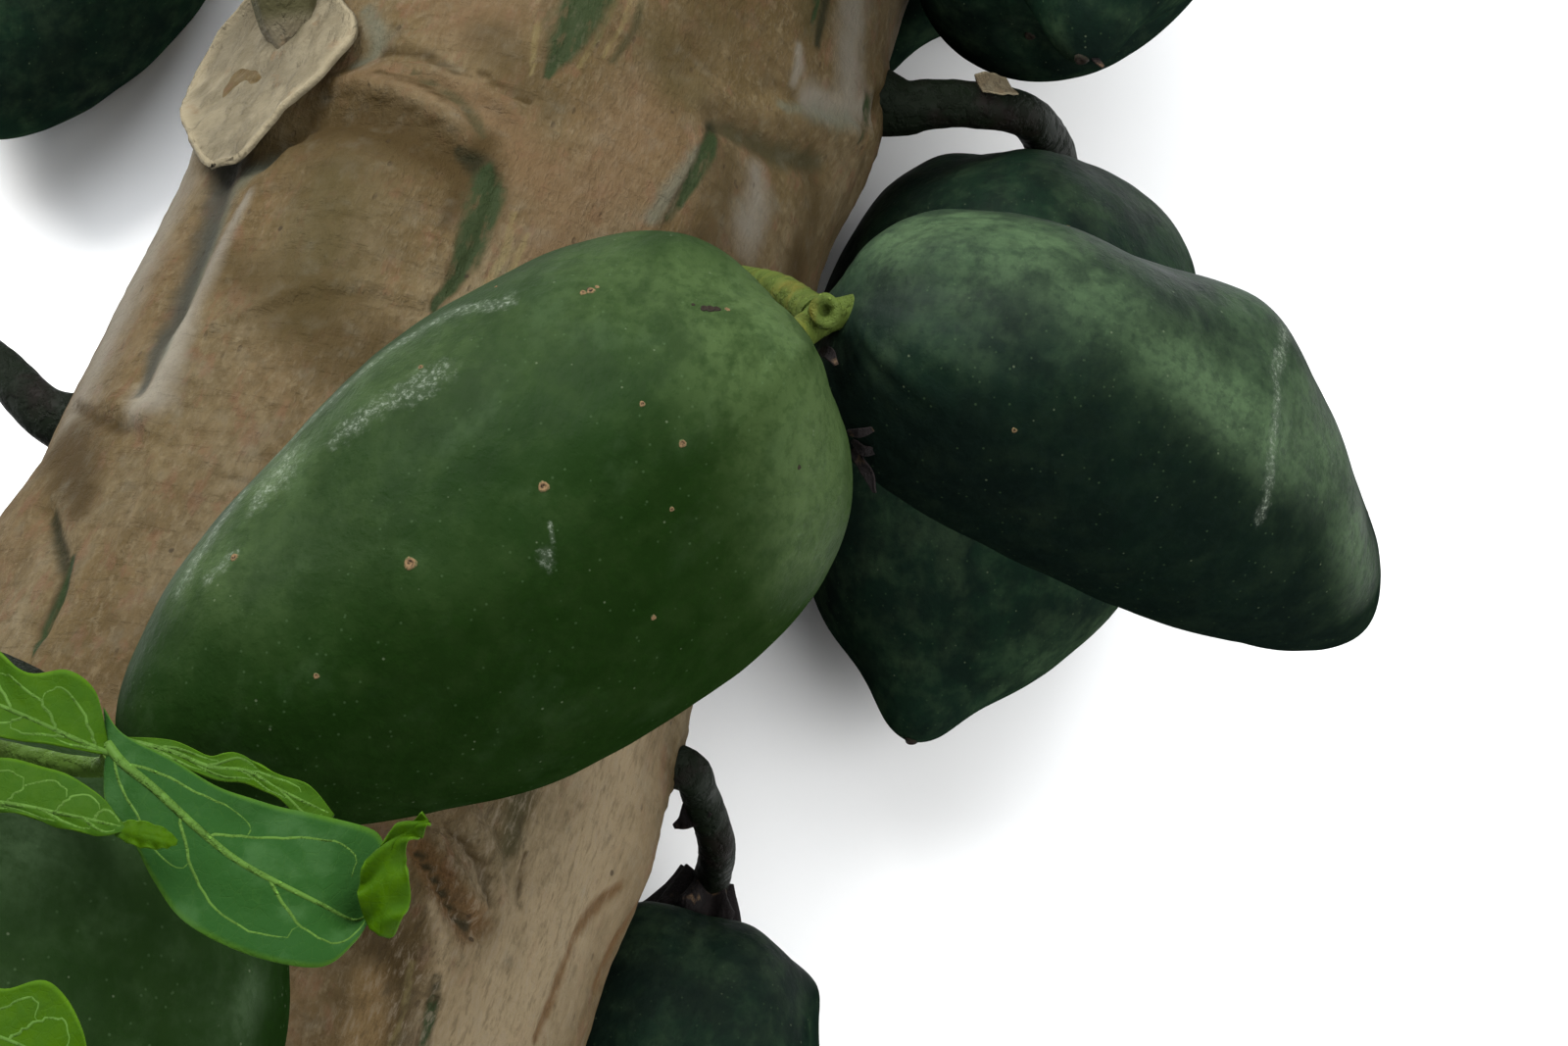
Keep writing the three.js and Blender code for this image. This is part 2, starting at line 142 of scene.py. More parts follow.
# Lights by name: place and size in metres, then colour. They all face LIGHT_AIM.
LIGHTS = {
    "key": ((-0.95, 0.6, 1.5), 1.1, (1.0, 0.98, 0.95)),
    "side": ((1.25, -0.35, 1.3), 1.4, (1.0, 0.99, 0.97)),
    "overhead": ((-0.1, 0.8, 2.2), 2.4, (0.96, 0.98, 1.0)),
}
LIGHT_AIM = (0.03, 0.0, 0.2)

# How far the floor reaches each way, in metres
FLOOR_REACH = 6

# Folds of the bark on the upper side: height, half width, then points (y, angle)
FOLDS = (
    (
        3.2, 5,
        (
            (387, -33), (394, -29), (398.5, -24.6), (398.5, -19), (396, -13.5), (393.5, -7.5),
            (390.5, -1.4), (386, 4), (381, 9),
        ),
    ),
    (
        -3.7, 7,
        (
            (378, -32), (383, -28), (387, -24), (387.6, -18.5), (386, -12.5), (384, -6.5), (381, -0.5),
            (378, 5),
        ),
    ),
    (
        1.5, 2,
        ((404.5, -14), (404.7, -6.4), (404, -3.1), (403.1, 0.1), (401.3, 3.5), (400.2, 6.6), (400.3, 9.3)),
    ),
    (
        -2.0, 1.7,
        (
            (404, -13), (403.2, -9.7), (401.5, -6.4), (399.5, -3.3), (397.9, -1), (396, 1.1), (393.5, 3),
            (389, 5.5),
        ),
    ),
    (-1.0, 1.4, ((408, -26), (409, -20), (408, -12), (407, -5), (405, 1), (403.5, 6), (403, 11))),
    (-1.2, 1.2, ((395, -27), (395.6, -21), (394, -15), (391.6, -9), (388.5, -3), (385, 2))),
    (-0.8, 1.3, ((385, -28), (386, -21), (385, -14), (382, -7))),
    (0.8, 1.4, ((383, -25), (383.5, -18), (382, -11), (379, -4), (375, 3))),
    (-0.9, 1.2, ((397, 4), (393, 9), (389, 13), (384, 16))),
    (0.9, 1.5, ((400, 5), (397, 10), (393, 14), (388, 18))),
    (0.7, 2.2, ((362, -27), (368, -20), (370, -12), (367, -4))),
    (-3.4, 7.5, ((378, -42), (364, -40.4), (350, -39), (335, -37.4), (325, -36.6))),
    (-1.5, 5, ((318, -36), (309, -35.2), (300, -34.6))),
    (-2.0, 5, ((374, -31), (384, -29), (396, -25), (410, -19))),
    (1.3, 4, ((376, -27), (362, -29), (350, -30), (328, -30.5), (306, -30), (288, -28.5))),
    (-0.9, 1.3, ((314, -24), (321, -17), (327, -11), (331, -3), (332, 5), (332, 12), (331, 18))),
    (0.9, 2.5, ((318, -24), (325, -17), (331, -11), (335, -3), (336, 5), (336, 12))),
    (2.4, 5, ((431, 37), (434, 44), (438, 51), (445, 58), (456, 68), (468, 80))),
    (-2.4, 3.6, ((423.8, 41.6), (426.6, 46.3), (428.8, 51), (432, 57), (437, 63), (444, 70))),
    (-1.4, 1.8, ((448, 50), (453, 58), (460, 67), (468, 76))),
    (-2.4, 3, ((262, -44), (253, -38), (246, -33), (236, -31), (226, -31))),
    (-1.2, 1.6, ((300, -57), (292, -44), (287, -35), (283, -30), (281, -22))),
    (1.6, 3, ((296, -40), (290, -30), (284, -26), (270, -22), (250, -22))),
    (-2.8, 2.2, ((200, 35), (194, 40), (189, 44), (187, 47.5), (191, 49.5))),
    (2.0, 3, ((202, 37), (197, 42), (193, 45.5), (194, 48.5))),
    (-1.5, 1.4, ((209, 38), (206, 43), (203, 46.5), (196, 49.6), (188, 50.5))),
    (1.5, 3, ((214, 37), (211, 44), (206, 49), (197, 53), (187, 54))),
    (-1.0, 1.3, ((220, 40), (214, 47), (208, 51.5), (200, 54.5))),
    (-1.0, 1.2, ((213, 50.5), (206, 51.5), (200, 52))), (-1.0, 1.2, ((216, 53.5), (208, 54.5), (202, 56))),
    (-1.0, 1.2, ((182, 38), (174, 41), (168, 43))), (1.2, 2.4, ((184, 42), (176, 45), (168, 47))),
    (-0.8, 2, ((224, 79), (209, 72), (199, 70.6), (187, 70.6), (176, 69.6))),
    (-0.9, 2.4, ((227, 90), (215, 86), (202, 86), (190, 84))),
    (-1.0, 1.5, ((438, 12), (425, 13), (415, 13))), (-0.8, 1.5, ((422, 41), (405, 40), (386, 39))),
    (-1.0, 1.8, ((380, 11), (359, 12), (341, 11))),
)

# Stains and painted light and shade of the bark: for each colour, lines of points (y, angle,
# half width)
STAINS_AND_PAINTED_LIGHT = {
    "green": (
        ((450, 14, 7), (440, 13.8, 8), (430, 13.2, 7), (421, 12.6, 4.2), (412, 12.2, 1.2)),
        (
            (377, 8.8, 2.6), (372, 10.2, 5.2), (366, 10.8, 5.2), (358, 10.8, 4.4), (350, 10.8, 3.2),
            (342, 10.6, 2), (334, 9.4, 1),
        ),
        ((420, 41.8, 1.8), (414, 41.6, 2.6), (406, 40.7, 2.2), (397, 39.7, 1.7), (388, 38.9, 1.2)),
        ((492, 54, 1.6), (483, 54.6, 1.4), (476, 55.5, 0.8)),
        ((247, -32, 1.6), (238, -31, 2.2), (228, -31, 1.6), (220, -30, 0.8)),
        ((169, 45.5, 1.2), (164, 46.8, 1.8), (158, 47.5, 1.8), (148, 48, 1)),
    ),
    "teal": (
        ((405, -21.5, 1.5), (411, -18.5, 2.6), (418, -19.5, 3), (424, -24, 2)),
        (
            (374, -32, 3.5), (364, -35, 4), (352, -35.5, 3.4), (338, -35, 3), (324, -33.5, 2.6),
            (310, -32.5, 2),
        ),
        ((445, 53.6, 1.4), (451, 60, 2.4), (458, 67.5, 3), (464.6, 73, 2.6)),
        ((413, 40.2, 1.4), (404, 38.9, 2.2), (394, 37.6, 2.2), (386, 36.6, 2)),
    ),
    # Dark slate down the groove on the left flank: the bark's own colour with painted shade
    "slate": (
        (
            (380, -43, 6.5), (370, -41, 7), (356, -39, 6), (342, -37.5, 5), (328, -36.3, 4),
            (312, -35.5, 3.2), (297, -34, 1.6),
        ),
    ),
    # Brown: the bark's own brown, also laid as painted shade in the hollow under the arc and along the
    # right edge
    "brown": (
        ((372, -34, 4), (380, -29, 4), (392, -25.5, 4), (404, -21.5, 3)),
        ((393, -27, 1), (394.5, -20, 1.4), (393, -13.5, 1.4), (391, -7, 1.4), (387.5, -1, 1.2)),
        ((408, 1, 0.9), (405, 6, 1.1), (403, 11, 0.8)), ((410, -17, 1.2), (410, -9, 1.6), (405, -2, 1.4)),
        ((401, -15, 1.2), (400, -8, 1.4), (396, -2, 1.2)),
        (
            (378, -31, 4), (384, -26, 6), (386.5, -19, 6.6), (385, -12.5, 7), (382.6, -6, 7), (380, 0, 6),
            (377, 5, 4.4),
        ),
        ((414, 73, 7), (398, 76, 10), (370, 79, 12)), ((300, -54, 2), (291, -43, 2), (286, -34, 2)),
        ((286, -50, 8), (276, -42, 9), (266, -36, 7)), ((208, 39, 1), (204, 46, 1.3), (196, 49.6, 1.4)),
        ((213, 54, 1), (206, 54.6, 1.3), (200, 55.6, 1)),
        ((184, 30, 8), (174, 37, 7), (166, 41, 5), (150, 43, 5)), ((384, 7, 5), (374, 6, 4), (360, 6, 2)),
    ),
    # Near-black in the grooves and at the dark ends of the slits: the bark's own dark with painted shade
    "groove": (
        ((262, -43, 1.8), (252, -37, 2.2), (244, -32, 2), (232, -31, 1.4)),
        ((382, 3, 1.2), (380, 6, 2.4), (377.6, 8.4, 3.2), (373, 9.2, 2)),
        ((492, 56, 2.4), (481, 57.2, 2.4), (473.5, 58.3, 1.4)),
        ((422, 41.6, 2.6), (417, 42, 1.8), (412, 42, 0.8)),
        ((199, 36, 0.8), (194, 40, 1.1), (189, 44, 1.3), (188, 47.5, 1.4)),
        ((174, 44.5, 1), (169, 45.8, 1.6), (165, 46.6, 1)),
    ),
    "olive": (
        ((502, 52, 8), (488, 53, 8), (476, 55, 5)), ((232, 48, 6), (220, 49, 6), (208, 50, 5)),
        ((366, -14, 10), (352, -12, 13), (338, -10, 12), (322, -10, 8)), ((436, 28, 8), (428, 34, 8)),
    ),
    "umber": (
        ((416, 46, 5), (404, 46, 6), (388, 45, 6)),
        ((443, 66.8, 3), (438.7, 70.3, 4.5), (430, 75, 6), (415, 78, 7)),
        ((378, -29, 9), (382, -18, 11), (379, -7, 11), (374, 3, 8)),
        ((420, 0, 6), (412, 8, 6), (405, 14, 5)), ((336, -26, 7), (324, -10, 10), (314, 6, 10)),
        ((470, 36, 12), (455, 36, 12), (440, 32, 9)),
    ),
    # Dark olive in the creases and folds: the bark's own olive with painted shade
    "moss": (
        ((452, 22, 1), (436, 22.6, 1.3), (424, 21.2, 1)),
        ((403.2, -9.7, 0.6), (399.5, -3.3, 1), (396.1, 1.1, 1.7), (392.5, 3.6, 1.8), (387, 6.4, 1)),
        (
            (423.8, 41.6, 1.6), (426.6, 46.3, 2.6), (429, 51, 3), (432, 57, 3.4), (438, 63, 3.4),
            (445, 70, 3),
        ),
        ((232, 49, 2.6), (222, 49.6, 3.4), (212, 50.6, 2.4)),
    ),
    # Ash grey bark, laid also as painted light on the left flank and on the ridge beside the groove
    "ash": (
        ((410, -64, 12), (380, -60, 13), (350, -57, 12), (322, -55, 11), (300, -53, 9)),
        ((421, 53.4, 4), (414, 56, 6), (404, 55.6, 6)),
        ((467, 54, 1.6), (462, 55.5, 2.2), (456, 55.5, 1.6)),
        ((510, 64, 7), (496, 66, 8), (484, 69, 8), (473, 72, 7)),
        ((360, -29.6, 1.6), (348, -30.4, 2.6), (332, -31, 3.4), (314, -30.6, 4), (294, -29, 6)),
        ((456, 60, 4), (466, 70, 5), (478, 80, 5)), ((372, -58, 6), (340, -54, 7), (310, -52, 6)),
    ),
    # Pale sandy bark, laid also as painted light on the low right side
    "sand": (
        ((436, -15, 5), (450, -11, 7), (466, -9, 8)),
        ((272, 66, 8), (246, 70, 17), (218, 69, 21), (190, 64, 22), (160, 58, 22), (120, 58, 24)),
        ((188, 40, 1.6), (180, 43, 2), (172, 46, 1.6)),
    ),
    "rust": (
        ((200, 35, 2.4), (192, 42, 4), (189, 46.5, 5), (191, 49.5, 3.6)),
        (
            (224, 79, 1.5), (214, 74.5, 2.6), (206, 71.6, 2), (198, 70.6, 1.5), (187, 70.6, 2.2),
            (176, 69.6, 1.4),
        ),
        ((229, 90, 3), (215, 86, 3), (202, 86, 3)),
    ),
    "gold": (((166, 36, 4), (158, 38, 5), (148, 40, 5)),),
    "pink": (
        (
            (397, -26, 3.6), (401, -19, 4.4), (400, -12, 4.6), (399, -5, 5), (396, 3, 6), (390, 12, 8),
            (380, 20, 8),
        ),
        ((420, 30, 12), (404, 30, 14), (386, 26, 13), (362, 22, 10)), ((440, -8, 12), (428, -2, 12)),
    ),
    # Pale bark at the ridge's end, partly a painted highlight
    "pale": (((322, -31.6, 2), (310, -31.4, 4.4), (296, -31.8, 5.4)),),
    "vein": (
        ((458, 17, 0.8), (445, 18, 0.9), (430, 17.6, 0.8), (418, 16.4, 0.7)),
        ((452, 20, 0.7), (438, 20.6, 0.8), (424, 19.4, 0.6)),
        ((368, 15.5, 1), (356, 16.5, 1.2), (345, 15.5, 1), (336, 13.5, 0.7)),
        ((364, 18.5, 0.8), (352, 18.5, 1), (342, 17, 0.7)),
        ((427, 7.5, 0.8), (418, 8.5, 1), (410, 10, 0.6)), ((174, 40, 1), (164, 42, 1.2), (152, 43, 0.8)),
    ),
}

# Stain colours and colours of painted light and shade, in the order that they are laid on: colour,
# strength, noise scale, how ragged and how soft the edge is
STAIN_AND_PAINTED_LIGHT_COLOURS = {
    "pink": ((0.082, 0.051, 0.026), 0.6, 60, 0.8, 0.5),
    "olive": ((0.036, 0.028, 0.010), 0.75, 50, 0.7, 0.5),
    "umber": ((0.034, 0.023, 0.008), 0.72, 70, 0.8, 0.5),
    # Sand, partly painted light
    "sand": ((0.190, 0.148, 0.090), 0.72, 70, 0.7, 0.5),
    # Ash grey, partly painted light
    "ash": ((0.138, 0.127, 0.104), 0.66, 90, 0.8, 0.5),
    # Brown, partly painted shade
    "brown": ((0.028, 0.018, 0.006), 0.88, 90, 0.7, 0.42),
    "rust": ((0.070, 0.038, 0.014), 0.85, 140, 0.7, 0.35),
    "gold": ((0.105, 0.068, 0.028), 0.7, 120, 0.8, 0.4),
    # Dark olive, partly painted shade
    "moss": ((0.030, 0.027, 0.012), 0.8, 140, 0.8, 0.4),
    # Pale, partly a painted highlight
    "pale": ((0.165, 0.150, 0.118), 0.65, 130, 1.1, 0.5),
    "teal": ((0.066, 0.078, 0.060), 0.5, 130, 1.2, 0.5),
    # Dark slate, partly painted shade
    "slate": ((0.022, 0.025, 0.021), 0.8, 110, 0.6, 0.4),
    # Near-black, partly painted shade
    "groove": ((0.010, 0.011, 0.005), 0.85, 110, 0.5, 0.35),
    "vein": ((0.12, 0.10, 0.042), 0.38, 260, 0.8, 0.25),
    "green": (None, 0.95, 200, 0.8, 0.22),
}
SPLIT_RIM = ((0.040, 0.026, 0.012), 0.55, 240, 0.8, 0.2)
SPLIT_RIM_SPREAD = 0.16
# Fine marks of the bark in the order that they are laid on: how the noise is stretched, its
# scale, detail and roughness, the levels where the mark starts and is full, its strength, its
# colour (none for the grey of the settings) and how far it raises the bark
BARK_MARKS = {
    "clouds": ((1, 0.6, 1), 26, 6, 0.55, 0.4, 0.72, 0.6, None, 0),
    "shade": ((1, 0.5, 1), 70, 6, 0.65, 0.4, 0.7, 0.5, (0.038, 0.026, 0.009), 0),
    "dashes": ((1, 0.4, 1), 520, 4, 0.6, 0.38, 0.68, 0.2, (0.025, 0.017, 0.007), -0.5),
    "threads": ((1, 0.4, 1), 1100, 3, 0.6, 0.45, 0.7, 0.14, (0.16, 0.135, 0.095), 0.4),
    "wrinkles": ((0.45, 1.6, 0.45), 210, 5, 0.65, 0.5, 0.7, 0.3, (0.028, 0.018, 0.007), -0.6),
    "mottle": ((1, 1, 1), 240, 5, 0.62, 0.42, 0.7, 0.5, (0.042, 0.028, 0.010), -0.4),
    "flecks": ((1, 0.7, 1), 380, 5, 0.6, 0.54, 0.68, 0.28, (0.145, 0.116, 0.070), 0.25),
}

# Where the bark is corky and crumbles: how much, then points (y, angle, half width)
CORKY = (
    (1.0, ((236, 49, 7), (214, 49, 11), (196, 46, 12), (176, 42, 12), (156, 42, 12))),
    (0.8, ((262, 72, 12), (226, 66, 18), (190, 62, 22), (140, 56, 26))),
)
BARK_AROUND = 320
BARK_ROWS = 250
BARK_ROW_SHARES = (0, 0.16, 0.84, 1)
BARK_ROW_STOPS = (STEM_LOW_CUT, 130, 480, STEM_HIGH_CUT)
BARK_CLOSER = 0.35
CUT_RINGS = (0.04, 0.12, 0.2, 0.25, 0.3, 0.42, 0.56, 0.7, 0.83, 0.93, 0.985)
PITH_SHARE = 0.27
PITH_DEPTH = 4

# Fruits, as in the solids, with their tone: deep, middle and light green, darker and bluer as
# painted shade for the side and back fruits
FRUIT_WIDEST = 0.36
FRUIT_SHOULDER = 2.5
FRUIT_LOBES = 5
FRUIT_LOBE_FADE = 0.6
NECK_DIMPLE_DEPTH = 4
NECK_DIMPLE_RADIUS = 13
TIP_ROUNDING = 3
TIP_ROUNDING_RADIUS = 7
FRUITS = {
    "fruit_front": dict(
        neck=(115.5, 313, 280), tip=(12, 179, 276), girth=101, bulge=(-5.4, -7.7, -3), point=1.55,
        lobe=0.012, tone="front", tip_reach=6,
    ),
    "fruit_right": dict(
        neck=(121.5, 337, 263), tip=(263, 342, 156), girth=82, bulge=(10.3, 3.5, 0.2), point=1.5,
        lobe=0.015, tone="right", dimple=0.5,
    ),
    "fruit_back_right": dict(
        neck=(144, 515, 72), tip=(150, 318, 62), girth=120, bulge=(0, 0, 2), point=1.25, lobe=0.02,
        rests=True, tone="back", pinch=0.2,
    ),
    "fruit_low_right": dict(
        neck=(106, 253, 58), tip=(121, 98, 46), girth=84, bulge=(1, 0, 1), point=1.5, lobe=0.03, rests=True,
        tone="back",
    ),
    "fruit_low_left": dict(
        neck=(-1, 169, 292), tip=(30, 8, 290), girth=114, bulge=(0, 0, 1), point=1.5, lobe=0.03,
        tone="near",
    ),
    "fruit_left": dict(
        neck=(-192, 306, 64), tip=(-184, 132, 52), girth=100, bulge=(-2, 0, 2), point=1.5, lobe=0.02,
        rests=True, tone="back",
    ),
    "fruit_top_left": dict(
        neck=(-212, 624, 70), tip=(-201, 444, 58), girth=118, bulge=(-1, 0, 1), point=1.35, lobe=0.02,
        rests=True, tone="back",
    ),
    "fruit_top_right": dict(
        neck=(143, 628, 232), tip=(156, 442, 234), girth=102, bulge=(3, 0, 2), point=1.3, lobe=0.02,
        tone="back", tip_reach=5, pinch=0.1,
    ),
    "fruit_top_middle": dict(
        neck=(144, 694, 128), tip=(131, 518, 132), girth=100, bulge=(1, 0, 0), point=2.8, lobe=0.02,
        tone="back",
    ),
    "fruit_top_back": dict(
        neck=(132, 728, 50), tip=(66, 566, 38), girth=74, bulge=(6, 0, -1), point=1.2, lobe=0.02,
        rests=True, tone="back", tip_reach=11,
    ),
}

# The way toward the light: skin turned from it gets painted shade and less gloss
SUNNY = (-0.25, 0.55, 0.8)
# Each tone's deep, middle and light green, how deep the painted shade is on the side turned
# from the light, and how much its neck end lightens
FRUIT_TONES = {
    "front": ("deep_green", "middle_green", "light_green", 0.56, 0.4),
    "near": ("deep_green", "middle_green", "bloom_and_sheen_green", 0.7, 0.15),
    "right": ("shade_dark_green", "shade_blue_green", "bloom_and_sheen_green", 0.75, 0.3),
    "back": ("shade_dark_green", "shade_blue_green", "bloom_and_sheen_green", 0.1, 0.1),
}

# Where the front fruit begins to ripen, and how far that reaches
FRONT_GLOW = ((122, 296, 306), 44)

# Soft dents and swellings of a fruit: point, radius and height
DENTS = {
    "fruit_front": (
        ((12, 212, 286), 34, 2.8), ((36, 282, 292), 32, 3.0), ((42, 262, 306), 24, 0.9),
        ((36, 232, 304), 14, -1.4), ((60, 250, 314), 18, 1.0), ((70, 215, 308), 17, 0.9),
        ((50, 205, 303), 14, -1.1), ((97, 262, 318), 18, 1.0), ((88, 292, 318), 12, -0.9),
        ((103.4, 307.6, 310.8), 12, -1.8), ((92, 314, 306), 10, 1.0), ((108, 240, 303), 14, -0.9),
        ((30, 205, 295), 12, 0.8), ((80, 240, 315), 9, -0.5), ((62, 228, 312), 8, -0.4),
    ),
    "fruit_right": (
        ((250, 350, 210), 22, -1.5), ((162, 377, 257), 24, -2.2), ((187, 375, 254), 17, -3),
        ((216, 372, 238), 20, 4.8), ((252, 359, 198), 16, -1.4), ((209, 350, 258), 11, -1.6),
        ((221, 346, 250), 11, 1.3), ((235, 341, 236), 16, -1.6), ((197, 345, 268), 16, 1.0),
        ((150, 352, 272), 12, -1.2), ((170, 330, 272), 16, 1.0), ((190, 318, 256), 18, -0.8),
        ((124.4, 352.1, 261.5), 2.4, -1.3), ((127, 352.6, 264.5), 2.4, -1.3),
        ((130.6, 352.2, 268.4), 2.6, -1.2), ((135, 351, 271), 2.6, -0.9), ((128, 348.6, 267), 4.5, 1.1),
        ((126, 344, 264.5), 2.2, -0.8), ((131, 344.4, 269), 2.2, -0.7),
    ),
    "fruit_back_right": (
        ((180, 497, 85), 16, 2), ((104, 487, 86), 16, 1.8), ((118, 503, 84), 13, 6.5),
        ((162, 505, 92), 14, 6.5), ((91, 476, 75), 16, -2), ((197, 385, 49), 32, 5.4),
        ((106, 362, 52), 22, 2.2), ((128, 338, 46), 14, -2.6),
    ),
    "fruit_low_right": (
        ((129, 249, 60), 7, -2.6), ((138, 242, 60), 10, 5.2), ((93, 245, 66), 14, 8.5),
        ((115, 250, 62), 8, 4),
    ),
    "fruit_top_middle": (((96, 540, 132), 26, 5), ((104, 531, 116), 22, 8), ((123, 525, 110), 15, 4.5)),
    "fruit_top_right": (((169, 460, 226), 16, -4), ((182, 478, 226), 22, -4)),
    "fruit_top_back": (((92, 588, 28), 20, -12),),
}

# Pale wax bloom and painted sheen on the skin, which also hold off the painted shade: point,
# radius and strength
BLOOM_AND_SHEEN = {
    "fruit_front": (
        ((50.5, 271.2, 313.7), 14, 0.35), ((77.4, 300.5, 314), 18, 0.45), ((20, 215, 300), 13, 0.6),
        ((24, 240, 301), 10, 0.7), ((131, 280, 296), 26, 0.75), ((133, 262, 287), 18, 0.55),
        ((40, 262, 308), 12, 0.35), ((46, 224, 311), 12, 0.25),
    ),
    "fruit_right": (
        ((145, 360, 272), 15, 0.6), ((131, 355, 268), 13, 0.6), ((165, 356, 277), 14, 0.5),
        ((151, 344, 280), 12, 0.25), ((180, 344, 277), 13, 0.35), ((193, 341, 271), 12, 0.5),
        ((204, 340, 263), 12, 0.6), ((215, 339, 254), 12, 0.65), ((226, 338, 243), 12, 0.6),
        ((237, 338, 229), 13, 0.4), ((250, 341, 208), 15, 0.6), ((258, 337, 192), 13, 0.5),
        ((230, 356, 239), 15, 0.5), ((241, 353, 224), 14, 0.5), ((215, 362, 253), 14, 0.35),
    ),
    "fruit_back_right": (
        ((180, 497, 84), 10, 0.3), ((190, 480, 80), 10, 0.25), ((195, 374, 48), 13, 0.3),
        ((180, 351, 59), 13, 0.25),
    ),
    "fruit_low_left": (((61, 131, 314), 9, 0.35), ((62, 122, 316), 9, 0.35), ((20, 136, 345), 11, 0.4)),
}

# Milk streaks dried on the skin, the front fruit's first two laid along its rim as a painted
# highlight: half width, then points by the skin
MILK_AND_RIM_LIGHT_STREAKS = {
    "fruit_front": (
        # This streak and the next run along the rim: a painted highlight over dried milk
        (
            1.7,
            (
                (19, 247.5, 293.5), (25, 257, 297.5), (33, 266, 303.5), (39.5, 277, 304.5),
                (48.2, 284, 307), (59, 286.6, 313),
            ),
        ),
        (1.5, ((12.5, 211, 296.5), (14.2, 223, 296.5), (16.3, 236, 295.3))),
        (1.2, ((34.5, 246.4, 309), (36, 249.3, 309.9))),
        (2.0, ((36, 249.3, 309.9), (40.1, 254.1, 312), (46.6, 259.5, 314.3))),
        (2.6, ((46.6, 259.5, 314.3), (51.4, 264.1, 315.5))), (3.2, ((24.1, 243, 301.3), (23, 238, 301.5))),
        (1.6, ((22.5, 236, 301.6), (21.9, 231.2, 302.3))), (1.0, ((22, 218, 304), (18.6, 212.2, 302.3))),
        (0.3, ((84.9, 238.5, 314), (86.5, 235.5, 312.5))), (1.0, ((85.5, 233, 311), (86.5, 231.5, 310.4))),
    ),
    "fruit_right": (
        (1.4, ((221.5, 370, 243.5), (222.2, 353.4, 249.5))),
        (
            1.0,
            (
                (222.2, 353.4, 249.5), (224.8, 343, 246.4), (226.1, 334.6, 241.7), (227.4, 328.8, 237.3),
                (227.1, 323.1, 233.7),
            ),
        ),
    ),
}

# Dark scabs and corky spots: a point by the skin and the mark's radius
DARK_SCABS = {
    "fruit_front": (
        ((101.2, 294.4, 317), 0.9), ((102.4, 294.9, 317), 1.0), ((103.6, 295.5, 316.6), 0.8),
        ((76.4, 292.4, 316.8), 0.7), ((98.6, 294.6, 317), 0.4), ((127, 272, 300), 0.5),
    ),
}
SPOTS = {
    "fruit_front": (
        ((81.7, 245, 316), 1.1), ((60.5, 222.7, 312), 1.3), ((22.6, 217.6, 304.3), 0.9),
        ((105.7, 262.5, 316), 0.8), ((96, 267, 319), 0.6), ((76.8, 292, 316.5), 0.9),
        ((75.4, 291, 316.5), 0.7), ((77.6, 293.6, 316.5), 0.5), ((105.6, 296.6, 316), 0.6),
        ((47.5, 198, 302), 0.6), ((107, 250.5, 310), 0.5), ((108, 232.5, 295), 0.6),
        ((48.6, 265.8, 310.5), 0.6),
    ),
    "fruit_right": (((167.7, 312, 267), 0.6),),
}
FRUIT_ROWS = {"front": (200, 240), "right": (190, 220), "near": (130, 170), "back": (110, 150)}

# Stalks, as in the solids: the fruit, the root (y, angle, how far out the stalk leaves the
# bark), the arch and three radii
STALK_SUNK = 9
NECK_APPROACH = 12
NECK_OVERRUN = 1
STALKS = {
    "stalk_back_right": (
        "fruit_back_right", (495, 92, 9), ((106, 498, 117), (119, 503, 115), (134, 512, 103)),
        (9.4, 6.8, 9.6),
    ),
    "stalk_low_right": (
        "fruit_low_right", (268, 93, 4.5), ((102.5, 267.5, 105), (108, 263, 84)), (4.8, 5.2, 5.8),
    ),
    "stalk_low_left": ("fruit_low_left", (190, -30, 9), ((-46, 188, 248), (-28, 184, 288)), (7.5, 6, 6.5)),
    "stalk_left": (
        "fruit_left", (317, -86, 9), ((-126, 330, 126), (-156, 342, 116), (-184, 334, 92)), (8, 6, 7),
    ),
    "stalk_top_left": ("fruit_top_left", (640, -90, 9), ((-128, 654, 122), (-178, 660, 108)), (8, 6, 7.5)),
    "stalk_top_right": ("fruit_top_right", (642, 50, 9), ((108, 658, 218), (134, 658, 232)), (8, 6, 7.5)),
    "stalk_top_middle": ("fruit_top_middle", (704, 84, 9), ((118, 722, 132), (139, 722, 130)), (8, 6, 7.5)),
    "stalk_top_back": ("fruit_top_back", (730, 108, 9), ((110, 746, 84), (132, 752, 66)), (8, 6, 7.5)),
}
FORK_ROOT = (378, 50)
FORK_ARCH = ((84, 364, 214), (103, 346, 245))
FORK_POINT = (117, 330, 264)
FORK_RADII = (7.5, 3.6, 4.4)
FORK_ARM_RADII = (4.2, 3.8, 4.4)
FORK_STUB_END = (120, 324, 278)
FORK_STUB_RADIUS = 3.7
FORK_ARM_START = 0.15

# Dried leaf base: stations of y and its left and right edges' angles, then the stub
BASE_STATIONS = (
    (369.3, -38.6, -34.4), (371.5, -41.5, -32.6), (377, -45.5, -31.2), (384, -50, -29.4), (391, -54, -26.3),
    (398, -57.6, -24), (405, -60.5, -22.4), (412, -62.2, -21.5), (418, -62.5, -23), (423, -61, -26.4),
    (428, -57, -29.8), (434, -51.5, -34), (441, -47, -38), (446, -45, -41),
)
BASE_STAND_OFF = 5.2
BASE_MIDDLE = -40
BASE_THICKNESS = 2
BASE_LIFT = 1.2
BASE_STUB_LOW = (422, -40, 2)
BASE_STUB_FOOT = ((409, -38.5, -7), (416, -39.2, -3.5), (422, -40, 0.5))
BASE_STUB_HEIGHTS = (8, 34, 66)
BASE_STUB_RADII = (2, 8, 11.3, 12, 9.5, 8.5)
BASE_STUB_HOLLOW = ((0.5, 0.72), (4, 0.6), (9, 0.5), (14, 0.2))
BASE_STUB_LEAN = 0.7

